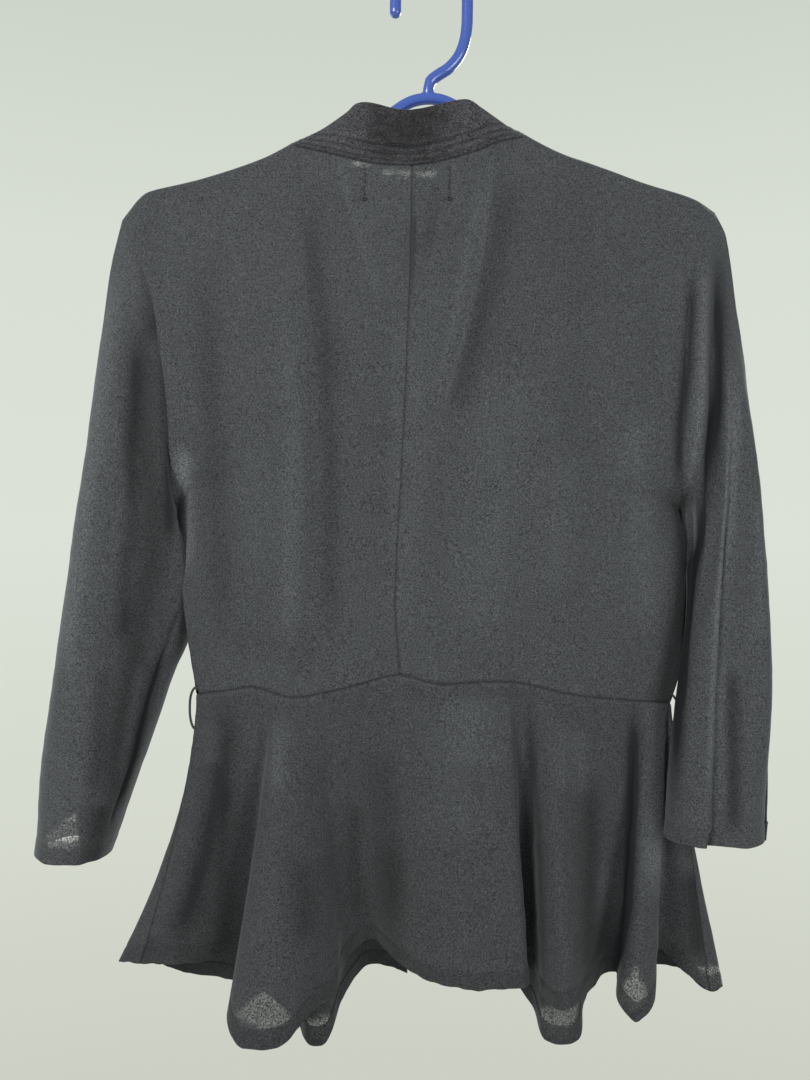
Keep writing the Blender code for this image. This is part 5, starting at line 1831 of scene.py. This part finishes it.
@dataclass
class TackStitches:
    """Two upright rows of hand stitches below the back neck, each ending in a knot."""

    rows: tuple[float, ...] = (46.3, -11.6)
    top: float = -142.0
    low: float = -161.0
    step: float = 4.6
    length: float = 3.2
    radius: float = 0.42
    knot: float = 1.1

    def mesh(self, panels: Sequence[ClothSheet]) -> tuple[Array, list]:
        """Points and faces of the stitches, on the back panels.

        Args:
            panels: the panels that they are sewn to.

        Returns:
            Their points and faces.
        """
        points = np.vstack([sheet.grid.reshape(-1, 3) for sheet in panels])
        normals = np.vstack([
            (grid_normals(sheet.grid, False) * sheet.outside).reshape(-1, 3) for sheet in panels
        ])
        parts = []
        for x in self.rows:
            for z in np.arange(self.top, self.low, -self.step):
                place = np.array([x + 0.5 * math.sin(z), 0.0, z])
                near = int(np.argmin(np.hypot(points[:, 0] - place[0], points[:, 2] - place[2])))
                spot, normal = points[near], normals[near]
                slope = (normal[0] * (place[0] - spot[0]) + normal[2] * (place[2] - spot[2]))
                place[1] = spot[1] - slope / normal[1]
                down = unit(np.array([0.08, normal[2] / normal[1], -1.0]))
                share = np.linspace(-0.5, 0.5, 7)
                lift = 0.30 + 0.4 * np.cos(share * math.pi)
                path = place + down * share[:, None] * self.length + normal * lift[:, None]
                parts.append(Rod(path, self.radius, 6).mesh())
                last = place, normal, down
            place, normal, down = last
            turn = np.linspace(0.0, 4.0 * math.pi, 36)
            beside = np.cross(normal, down)
            ring = self.knot * (np.cos(turn)[:, None] * beside + np.sin(turn)[:, None] * down)
            lift = 0.60 + np.linspace(0.0, 0.9, 36)
            knot = place + down * self.step * 0.7 + ring + normal * lift[:, None]
            parts.append(Rod(knot, self.radius * 1.3, 6, first_up=tuple(normal)).mesh())
        return joined(parts)


@dataclass
class Hanger:
    """Moulded tube hanger: the hook's foot runs into the arch of the frame."""

    rod: float = 8.0
    hook_radius: float = 25.2
    step: float = 2.4
    sides: int = 28
    bar_inset: float = 8.0
    fillet: float = 7.0

    def hook_path(self) -> Array:
        """Centreline of the hook, from its tip over the top and down to the arch."""
        centre = self.rod / 2.0 - self.hook_radius
        turns = np.linspace(0.0, math.pi, 42)
        arc = np.column_stack([
            self.hook_radius * np.cos(turns), np.zeros(len(turns)),
            centre + self.hook_radius * np.sin(turns),
        ])
        tip = np.column_stack([
            np.full(5, self.hook_radius), np.zeros(5), np.linspace(HOOK_TIP_Z, centre, 6)[:-1]
        ])
        return np.vstack([tip, arc, spaced(HOOK_FOOT, self.step)[1:]])

    @staticmethod
    def arm(side: Side) -> list[Point]:
        """Centreline of one arm, a rod's drop below the shoulder seam."""
        seam = array(SHOULDER[side])[:ARM_STATIONS[side]]
        seam[:, 2] -= ARM_DROP
        seam[0, 2] -= NECK_DROP
        return [Point(*point) for point in seam]

    def frame_path(self) -> Array:
        """Centreline of the frame, once round from the left end of its bar."""
        left, right = self.arm(Side.LEFT), self.arm(Side.RIGHT)
        run = [*CORNER[Side.RIGHT][::-1], *right[::-1], *ARCH, *left, *CORNER[Side.LEFT]]
        start, end = CORNER[Side.LEFT][-1].x, CORNER[Side.RIGHT][-1].x
        count = int((start - end - 2.0 * self.bar_inset) / self.step)
        bar_x = np.linspace(start - self.bar_inset, end + self.bar_inset, count)
        bar = np.column_stack([bar_x, np.zeros(count), np.full(count, BAR_Z)])
        whole = np.vstack([spaced(run, self.step), bar])
        for _ in range(4):
            whole = 0.5 * whole + 0.25 * (np.roll(whole, 1, axis=0) + np.roll(whole, -1, axis=0))
        return whole

    def build(self) -> bpy.types.Object:
        """Make the hanger as one moulded body."""
        half = self.rod / 2.0
        frame_rod = Rod(self.frame_path(), half, self.sides, closed=True)
        whole = add_object("hanger_moulded", *frame_rod.mesh(), {})
        hook = add_object("hanger_hook", *Rod(self.hook_path(), half, self.sides).mesh(), {})
        join = whole.modifiers.new("join", "BOOLEAN")
        join.operation, join.solver, join.object = "UNION", "EXACT", hook
        bpy.context.view_layer.update()
        depsgraph = bpy.context.evaluated_depsgraph_get()
        mesh = bpy.data.meshes.new_from_object(whole.evaluated_get(depsgraph))
        whole.modifiers.clear()
        whole.data = mesh
        bpy.data.objects.remove(hook)
        self.soften_join(mesh)
        return whole

    def soften_join(self, mesh: bpy.types.Mesh) -> None:
        """Ease the corner where the hook's foot meets the arch into a small fillet.

        Args:
            mesh: the joined hanger.
        """
        work = bmesh.new()
        work.from_mesh(mesh)
        foot, ahead = HOOK_FOOT[-1], HOOK_FOOT[-2]
        near = [
            vertex for vertex in work.verts
            if abs(vertex.co.x / MM - ahead.x) < self.fillet
            and abs(vertex.co.z / MM - (foot.z + ahead.z) / 2.0 - 0.8) < self.fillet
        ]
        for _ in range(6):
            bmesh.ops.smooth_vert(
                work, verts=near, factor=0.5, use_axis_x=True, use_axis_y=True, use_axis_z=True
            )
        for face in work.faces:
            face.smooth = True
        work.to_mesh(mesh)
        work.free()


@dataclass(frozen=True)
class Value:
    """Number that varies over a surface, for sums written as expressions."""

    graph: "Graph"
    socket: bpy.types.NodeSocket

    def _sum(self, operation: str, *inputs: Any) -> "Value":
        """Add one Math node."""
        node = self.graph.node("ShaderNodeMath", {"operation": operation}, dict(enumerate(inputs)))
        return Value(self.graph, node.outputs[0])

    def __add__(self, other: Any) -> "Value":
        """Sum."""
        return self._sum("ADD", self, other)

    def __radd__(self, other: Any) -> "Value":
        """Sum with a number on the left."""
        return self._sum("ADD", other, self)

    def __sub__(self, other: Any) -> "Value":
        """Difference."""
        return self._sum("SUBTRACT", self, other)

    def __rsub__(self, other: Any) -> "Value":
        """Difference from a number on the left."""
        return self._sum("SUBTRACT", other, self)

    def __mul__(self, other: Any) -> "Value":
        """Product."""
        return self._sum("MULTIPLY", self, other)

    def __rmul__(self, other: Any) -> "Value":
        """Product with a number on the left."""
        return self._sum("MULTIPLY", other, self)

    def __truediv__(self, other: Any) -> "Value":
        """Quotient."""
        return self._sum("DIVIDE", self, other)

    def __abs__(self) -> "Value":
        """Size without its sign."""
        return self._sum("ABSOLUTE", self)

    def kept(self) -> "Value":
        """The value held from 0 to 1."""
        return self._sum("MAXIMUM", self._sum("MINIMUM", self, 1.0), 0.0)


class Graph:
    """Nodes of one material or world."""

    def __init__(self, owner: Any) -> None:
        """Start with no nodes.

        Args:
            owner: the material or world.
        """
        owner.use_nodes = True
        self.tree = owner.node_tree
        self.tree.nodes.clear()

    def node(self, kind: str, settings: dict[str, Any], inputs: dict[Any, Any]) -> Any:
        """Add one node.

        Args:
            kind: its type.
            settings: its settings, and a ramp's stops under "stops".
            inputs: values or links of its sockets.

        Returns:
            The node.
        """
        made = self.tree.nodes.new(kind)
        for key, setting in settings.items():
            if key == "stops":
                while len(made.color_ramp.elements) < len(setting):
                    made.color_ramp.elements.new(0.5)
                for element, (place, colour) in zip(made.color_ramp.elements, setting):
                    element.position, element.color = place, (*colour, 1.0)
            else:
                setattr(made, key, setting)
        for key, given in inputs.items():
            if isinstance(given, Value):
                given = given.socket
            if isinstance(given, bpy.types.NodeSocket):
                self.tree.links.new(given, made.inputs[key])
            else:
                made.inputs[key].default_value = given
        return made

    def place(self) -> bpy.types.NodeSocket:
        """Place on the object in metres."""
        return self.node("ShaderNodeTexCoord", {}, {}).outputs["Object"]

    def stretched(self, scale: tuple[float, float, float]) -> bpy.types.NodeSocket:
        """Place on the object, stretched along its axes."""
        return self.node(
            "ShaderNodeVectorMath", {"operation": "MULTIPLY"}, {0: self.place(), 1: scale}
        ).outputs[0]

    def noise(self, scale: float, detail: float = 2.0, rough: float = 0.5,
              place: bpy.types.NodeSocket | None = None) -> Value:
        """Cloudy values from 0 to 1.

        Args:
            scale: clouds in a metre.
            detail: finer layers.
            rough: strength of the finer layers.
            place: where to read it, or None for the place on the object.

        Returns:
            The values.
        """
        made = self.node(
            "ShaderNodeTexNoise", {},
            {"Vector": place or self.place(), "Scale": scale, "Detail": detail,
             "Roughness": rough},
        )
        return Value(self, made.outputs[0])

    def named(self, name: str) -> Value:
        """Value that the mesh carries under a name."""
        made = self.node("ShaderNodeAttribute", {"attribute_name": name}, {})
        return Value(self, made.outputs[2])

    def scaled(self, colour: Colour, share: Value) -> bpy.types.NodeSocket:
        """Colour made lighter or darker by a value."""
        return self.node(
            "ShaderNodeVectorMath", {"operation": "SCALE"}, {0: colour, 3: share}
        ).outputs[0]

    def mixed(self, share: Value, low: Any, high: Any) -> bpy.types.NodeSocket:
        """Mix of two colours by a value."""
        return self.node(
            "ShaderNodeMix", {"data_type": "RGBA"}, {0: share, 6: low, 7: high}
        ).outputs[2]

    def bump(self, height: Value, strength: float, distance: float) -> bpy.types.NodeSocket:
        """Normal of a surface with fine relief."""
        return self.node(
            "ShaderNodeBump", {}, {"Strength": strength, "Distance": distance, "Height": height}
        ).outputs[0]

    def finish(self, sockets: dict[str, Any],
               shadow: tuple[Value, Colour] | None = None) -> None:
        """Add the shader and the output.

        Args:
            sockets: values or links of the shader's sockets.
            shadow: how far it gives way to a plain dull colour of painted shadow, and that colour.
        """
        shader = self.node("ShaderNodeBsdfPrincipled", {}, sockets)
        # Painted shadow: a plain dark diffuse shader mixed in by the given share
        if shadow is not None:
            deep = self.node("ShaderNodeBsdfDiffuse", {}, {"Color": (*shadow[1], 1.0)})
            shader = self.node("ShaderNodeMixShader", {}, {
                0: shadow[0], 1: shader.outputs[0], 2: deep.outputs[0],
            })
        self.node("ShaderNodeOutputMaterial", {}, {0: shader.outputs[0]})


class Weave(Enum):
    """How closed the cloth lies."""

    SINGLE = "one layer, a little see-through where it flares"
    DOUBLE = "two layers fused together"


@dataclass(frozen=True)
class Finish:
    """Finish of a surface."""

    name: str
    colour: Colour

    def sockets(self, graph: Graph) -> dict[str, Any]:
        """Values and links of the shader's sockets."""
        raise NotImplementedError

    def shadow(self, graph: Graph) -> tuple[Value, Colour] | None:
        """How far the shader gives way to a plain dull colour of painted shadow, and that colour.
        """
        return None

    def material(self) -> bpy.types.Material:
        """Make the material."""
        made = bpy.data.materials.new(self.name)
        graph = Graph(made)
        graph.finish(self.sockets(graph), self.shadow(graph))
        return made


@dataclass(frozen=True)
class Crepe(Finish):
    """Matt black crepe with a pebbly grain."""

    colour: Colour = (0.0490, 0.0524, 0.0558)
    weave: Weave = Weave.SINGLE
    closed: float = 0.996
    open: float = 0.921
    grain_scale: float = 980.0
    crepe_scale: float = 2600.0
    cloud_scale: float = 26.0
    fleck_scale: float = 150.0
    lint_scale: float = 1250.0
    lint_from: float = 0.66
    mottle: float = 0.20
    roughness: float = 0.86
    sheen: float = 0.20
    # Painted shadow of deep creases: a plain dark colour that takes over where the tone is low
    crease_shadow_colour: Colour = (0.019, 0.020, 0.022)
    crease_shadow_from: float = 0.44

    def sockets(self, graph: Graph) -> dict[str, Any]:
        """Values and links of the shader's sockets."""
        tone, sheer = graph.named("tone"), graph.named("sheer")
        grain = graph.noise(self.grain_scale, 3.0, 0.65)
        threads = graph.noise(self.crepe_scale, 1.0, 0.5, graph.stretched((1.0, 1.0, 0.6)))
        clouds = graph.noise(self.cloud_scale, 2.0, 0.5)
        flecks = graph.noise(self.fleck_scale, 3.0, 0.6)
        single = self.weave is Weave.SINGLE
        spread = self.mottle if single else self.mottle * 2.2
        shade = 1.0 + (clouds - 0.5) * spread + (flecks - 0.5) * spread * 0.8
        shade = shade + (grain - 0.5) * (4.0 if single else 5.6)
        lint = ((graph.noise(self.lint_scale, 1.0, 0.5) - self.lint_from) * 12.0).kept()
        shade = shade + lint * (0.9 if single else 2.2)
        found: dict[str, Any] = {
            # Tone carries the painted shade and light of the folds; the colour is also a little
            # lighter where the cloth lies open, as painted light coming through
            "Base Color": graph.scaled(self.colour, tone * shade * (1.0 + sheer * 0.12)),
            "Roughness": (self.roughness + (clouds - 0.5) * 0.12).kept(),
            "Normal": graph.bump(grain * 0.6 + threads * 0.4, 0.55, 0.00022),
            "Specular IOR Level": 0.22,
            "Sheen Weight": self.sheen,
            "Sheen Roughness": 0.45,
            "Sheen Tint": (0.75, 0.80, 0.82, 1.0),
        }
        if single:
            gaps = sheer * (self.closed - self.open) * (1.0 + (grain - 0.5) * 9.0)
            found["Alpha"] = (self.closed - gaps).kept()
        return found

    def shadow(self, graph: Graph) -> tuple[Value, Colour] | None:
        """How far painted crease shadow, a plain dark colour, hides the sheen of the cloth, and
        that colour.
        """
        return ((self.crease_shadow_from - graph.named("tone")) * 4.0).kept(), self.crease_shadow_colour


@dataclass(frozen=True)
class Thread(Finish):
    """Black sewing thread."""

    name: str = "thread_black"
    colour: Colour = (0.016, 0.017, 0.018)
    roughness: float = 0.55
    ply_scale: float = 1900.0

    def sockets(self, graph: Graph) -> dict[str, Any]:
        """Values and links of the shader's sockets."""
        ply = graph.noise(self.ply_scale, 2.0, 0.6)
        return {
            "Base Color": graph.scaled(self.colour, 0.7 + ply * 0.8),
            "Roughness": (self.roughness + (ply - 0.5) * 0.3).kept(),
            "Normal": graph.bump(ply, 0.5, 0.00012),
            "Sheen Weight": 0.15,
        }


@dataclass(frozen=True)
class MouldedPlastic(Finish):
    """Glossy blue plastic with a fine parting line and light scuffs."""

    name: str = "plastic_blue"
    colour: Colour = (0.045, 0.095, 0.38)
    roughness: float = 0.20
    line_width: float = 0.00035
    worn_colour: Colour = (0.12, 0.20, 0.52)
    cloud_scale: float = 60.0
    scuff_scale: float = 420.0

    def sockets(self, graph: Graph) -> dict[str, Any]:
        """Values and links of the shader's sockets."""
        depth = graph.node("ShaderNodeSeparateXYZ", {}, {0: graph.place()}).outputs[1]
        line = (1.0 - abs(Value(graph, depth)) / self.line_width).kept()
        clouds = graph.noise(self.cloud_scale, 3.0, 0.6)
        scuffs = graph.noise(self.scuff_scale, 4.0, 0.7, graph.stretched((0.35, 1.0, 1.0)))
        worn = ((scuffs - 0.56) * 5.0).kept()
        return {
            "Base Color": graph.mixed(
                (worn * 0.10 + line * 0.18).kept(), (*self.colour, 1.0),
                (*self.worn_colour, 1.0),
            ),
            "Roughness": (self.roughness + (clouds - 0.5) * 0.10 + worn * 0.18).kept(),
            "Normal": graph.bump(line * 0.5 + clouds * 0.12 + worn * 0.03, 0.35, 0.00030),
            "Coat Weight": 0.5,
            "Coat Roughness": 0.08,
            "Specular IOR Level": 0.5,
        }


@dataclass(frozen=True)
class PaintedFloor(Finish):
    """Plain pale painted floor."""

    name: str = "floor_pale"
    colour: Colour = (0.70, 0.72, 0.66)
    cloud_scale: float = 1.3

    def sockets(self, graph: Graph) -> dict[str, Any]:
        """Values and links of the shader's sockets."""
        clouds = graph.noise(self.cloud_scale, 3.0, 0.5)
        return {
            "Base Color": graph.scaled(self.colour, 0.985 + clouds * 0.03),
            "Roughness": (0.7 + clouds * 0.1).kept(),
            "Specular IOR Level": 0.2,
        }


@dataclass
class Studio:
    """Pale floor, pale backdrop light, lamps and the camera."""

    floor_z: float = -1.90
    floor_radius: float = 1.9
    lens: float = 44.44
    sensor: float = 36.0
    middle: tuple[float, float, float] = (0.0, 0.0, -0.40)
    backdrop_stops: tuple[tuple[float, Colour], ...] = (
        (0.0, (0.605, 0.630, 0.555)), (0.2, (0.665, 0.695, 0.615)), (0.5, (0.715, 0.755, 0.680)),
        (0.8, (0.690, 0.735, 0.665)), (1.0, (0.615, 0.660, 0.590)),
    )
    ambient: float = 0.42
    ambient_colour: Colour = (0.90, 0.94, 0.92)
    lamp_colour: Colour = (1.0, 0.985, 0.965)
    lamps: tuple[tuple[str, tuple[float, float, float], float, float], ...] = (
        ("window_light", (1.15, 1.55, 0.75), 0.9, 33.0),
        ("soft_fill", (-1.3, 1.5, 0.1), 1.0, 15.0),
        ("front_window", (-1.2, -1.6, 0.6), 1.0, 30.0),
        ("front_fill", (1.5, -1.2, -0.2), 1.2, 8.0),
    )

    def floor(self) -> bpy.types.Object:
        """Round floor below the hung jacket."""
        count, rings = 96, (0.5, 0.97, 1.0)
        points, faces = [], []
        turns = 2.0 * np.pi * np.arange(count) / count
        for ring, radius in enumerate(rings):
            drop = 0.0 if ring < 2 else 0.02
            for turn in turns:
                points.append((
                    self.floor_radius * radius * math.cos(turn),
                    self.floor_radius * radius * math.sin(turn), self.floor_z - drop,
                ))
        for ring in range(2):
            for k in range(count):
                m = (k + 1) % count
                a, b = ring * count, (ring + 1) * count
                faces.append((a + k, b + k, b + m, a + m))
        faces.append(tuple(range(count)))
        made = add_object("floor", np.array(points) / MM, faces, {})
        made.data.materials.append(PaintedFloor().material())
        return made

    def backdrop(self) -> None:
        """Pale even light from all round, lightest at the jacket's height."""
        world = bpy.data.worlds.new("pale_room")
        bpy.context.scene.world = world
        graph = Graph(world)
        way = graph.node("ShaderNodeTexCoord", {}, {}).outputs["Generated"]
        parts = graph.node("ShaderNodeSeparateXYZ", {}, {0: way})
        up = (Value(graph, parts.outputs[2]) * 1.1 + 0.5).kept()
        seen = graph.node("ShaderNodeValToRGB", {"stops": self.backdrop_stops}, {0: up}).outputs[0]
        light = graph.node(
            "ShaderNodeBackground", {}, {0: (*self.ambient_colour, 1.0), 1: self.ambient}
        )
        shown = graph.node("ShaderNodeBackground", {}, {0: seen, 1: 1.0})
        path = graph.node("ShaderNodeLightPath", {}, {})
        both = graph.node(
            "ShaderNodeMixShader", {},
            {0: path.outputs["Is Camera Ray"], 1: light.outputs[0], 2: shown.outputs[0]},
        )
        graph.node("ShaderNodeOutputWorld", {}, {0: both.outputs[0]})

    def light(self) -> None:
        """Soft lamps, the strongest from the upper left of the camera."""
        centre = Vector(self.middle)
        for name, offset, size, power in self.lamps:
            data = bpy.data.lights.new(name, "AREA")
            data.shape, data.size, data.energy = "DISK", size, power
            data.color = self.lamp_colour
            lamp = bpy.data.objects.new(name, data)
            lamp.location = centre + Vector(offset)
            lamp.rotation_euler = (-Vector(offset)).to_track_quat("-Z", "Y").to_euler()
            bpy.context.scene.collection.objects.link(lamp)

    def camera(self) -> None:
        """Camera level with the middle of the jacket, behind it."""
        data = bpy.data.cameras.new("camera")
        data.lens, data.sensor_width, data.sensor_fit = self.lens, self.sensor, "HORIZONTAL"
        made = bpy.data.objects.new("camera", data)
        made.location = [value * MM for value in EYE]
        made.rotation_euler = (math.radians(90.0), 0.0, math.radians(180.0))
        bpy.context.scene.collection.objects.link(made)
        bpy.context.scene.camera = made
        bpy.context.scene.view_settings.view_transform = "Standard"


@dataclass(frozen=True)
class Cut:
    """Flat cut of a piece of cloth in metres, and the solids that the piece hangs from."""

    width: float
    length: float
    area: float
    hangs_from: tuple[str, ...]


CUTS = {
    "back_left": Cut(0.235, 0.395, 0.066, ("hanger",)),
    "back_right": Cut(0.245, 0.400, 0.077, ("hanger",)),
    "front_left": Cut(0.215, 0.365, 0.050, ("hanger",)),
    "front_right": Cut(0.225, 0.370, 0.055, ("hanger",)),
    "collar_band": Cut(1.06, 0.060, 0.058, ("hanger",)),
    "sleeve_left": Cut(0.36, 0.45, 0.082, ("back_left", "front_left")),
    "sleeve_right": Cut(0.30, 0.44, 0.068, ("back_right", "front_right")),
    "peplum_back": Cut(0.80, 0.30, 0.112, ("back_left", "back_right")),
    "peplum_front_left": Cut(0.43, 0.27, 0.054, ("front_left",)),
    "peplum_front_right": Cut(0.46, 0.27, 0.060, ("front_right",)),
}


@dataclass
class Jacket:
    """The dressed jacket and its hanger."""

    single: bpy.types.Material
    double: bpy.types.Material
    thread: bpy.types.Material
    plastic: bpy.types.Material
    pieces: list[bpy.types.Object] = field(default_factory=list)

    def fit(self, piece: bpy.types.Object, material: bpy.types.Material,
            node: str | None) -> bpy.types.Object:
        """Give a piece its finish and hang it on the body.

        Args:
            piece: the piece.
            material: its finish.
            node: the solid that it stands for, if there is one.

        Returns:
            The piece.
        """
        piece.data.materials.clear()
        piece.data.materials.append(material)
        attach(piece, BODY)
        if node:
            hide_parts(node)
        self.pieces.append(piece)
        LOG.info("%s: %d faces", piece.name, len(piece.data.polygons))
        return piece

    def cloth(self, sheet: ClothSheet, node: str,
              with_pieces: Sequence[bpy.types.Object] = ()) -> bpy.types.Object:
        """Build and declare one piece of cloth.

        Args:
            sheet: the sheet to build.
            node: the solid that it stands for.
            with_pieces: separate pieces that are sewn to it; not used.

        Returns:
            The piece.
        """
        doubled = node == "collar_band"
        piece = self.fit(
            sheet.build(), self.double if doubled else self.single,
            node,
        )
        cut = CUTS[node]
        list(cut.hangs_from)
        list(with_pieces)
        return piece

    def sewn(self, name: str, mesh: tuple[Array, list], node: str | None) -> bpy.types.Object:
        """Build one piece of thread."""
        return self.fit(add_object(name, *mesh, {}), self.thread, node)


def dress() -> list[bpy.types.Object]:
    """Build the jacket on its hanger.

    Returns:
        Its pieces.
    """
    jacket = Jacket(
        Crepe("crepe_black").material(),
        Crepe("crepe_doubled", (0.031, 0.031, 0.034), Weave.DOUBLE).material(),
        Thread().material(),
        MouldedPlastic().material(),
    )
    jacket.fit(Hanger().build(), jacket.plastic, "hanger")
    bodice, peplum = Bodice(), Peplum()
    band = CollarBand(bodice)
    sheets = {"collar_band": band.sheet(), "peplum_back": peplum.back()}
    for side in Side:
        sheets[f"back_{side.value}"] = bodice.back(side)
        sheets[f"front_{side.value}"] = bodice.front(side)
        sheets[f"sleeve_{side.value}"] = Sleeve(side, bodice).sheet()
        sheets[f"peplum_front_{side.value}"] = peplum.front(side)
    share_seams(list(sheets.values()))
    backs = [sheets[f"back_{side.value}"] for side in Side]
    tacks = jacket.sewn("neck_tack_stitches", TackStitches().mesh(backs), None)
    topstitching = jacket.sewn("collar_topstitching", band.stitches(), None)
    sewn_on = {"back_left": [tacks], "collar_band": [topstitching]}
    for node, sheet in sheets.items():
        jacket.cloth(sheet, node, sewn_on.get(node, ()))
    for side in Side:
        jacket.sewn(f"thread_loop_{side.value}", BeltLoop(side).mesh(), f"belt_loop_{side.value}")
    return jacket.pieces


def main() -> None:
    """Build the scene."""
    logging.basicConfig(level=logging.INFO, format="%(name)s: %(message)s")
    studio = Studio()
    studio.camera()
    studio.floor()
    studio.backdrop()
    studio.light()
    pieces = dress()
    LOG.info("%d pieces", len(pieces))
    bpy.context.view_layer.update()


if __name__ == "__main__":
    main()
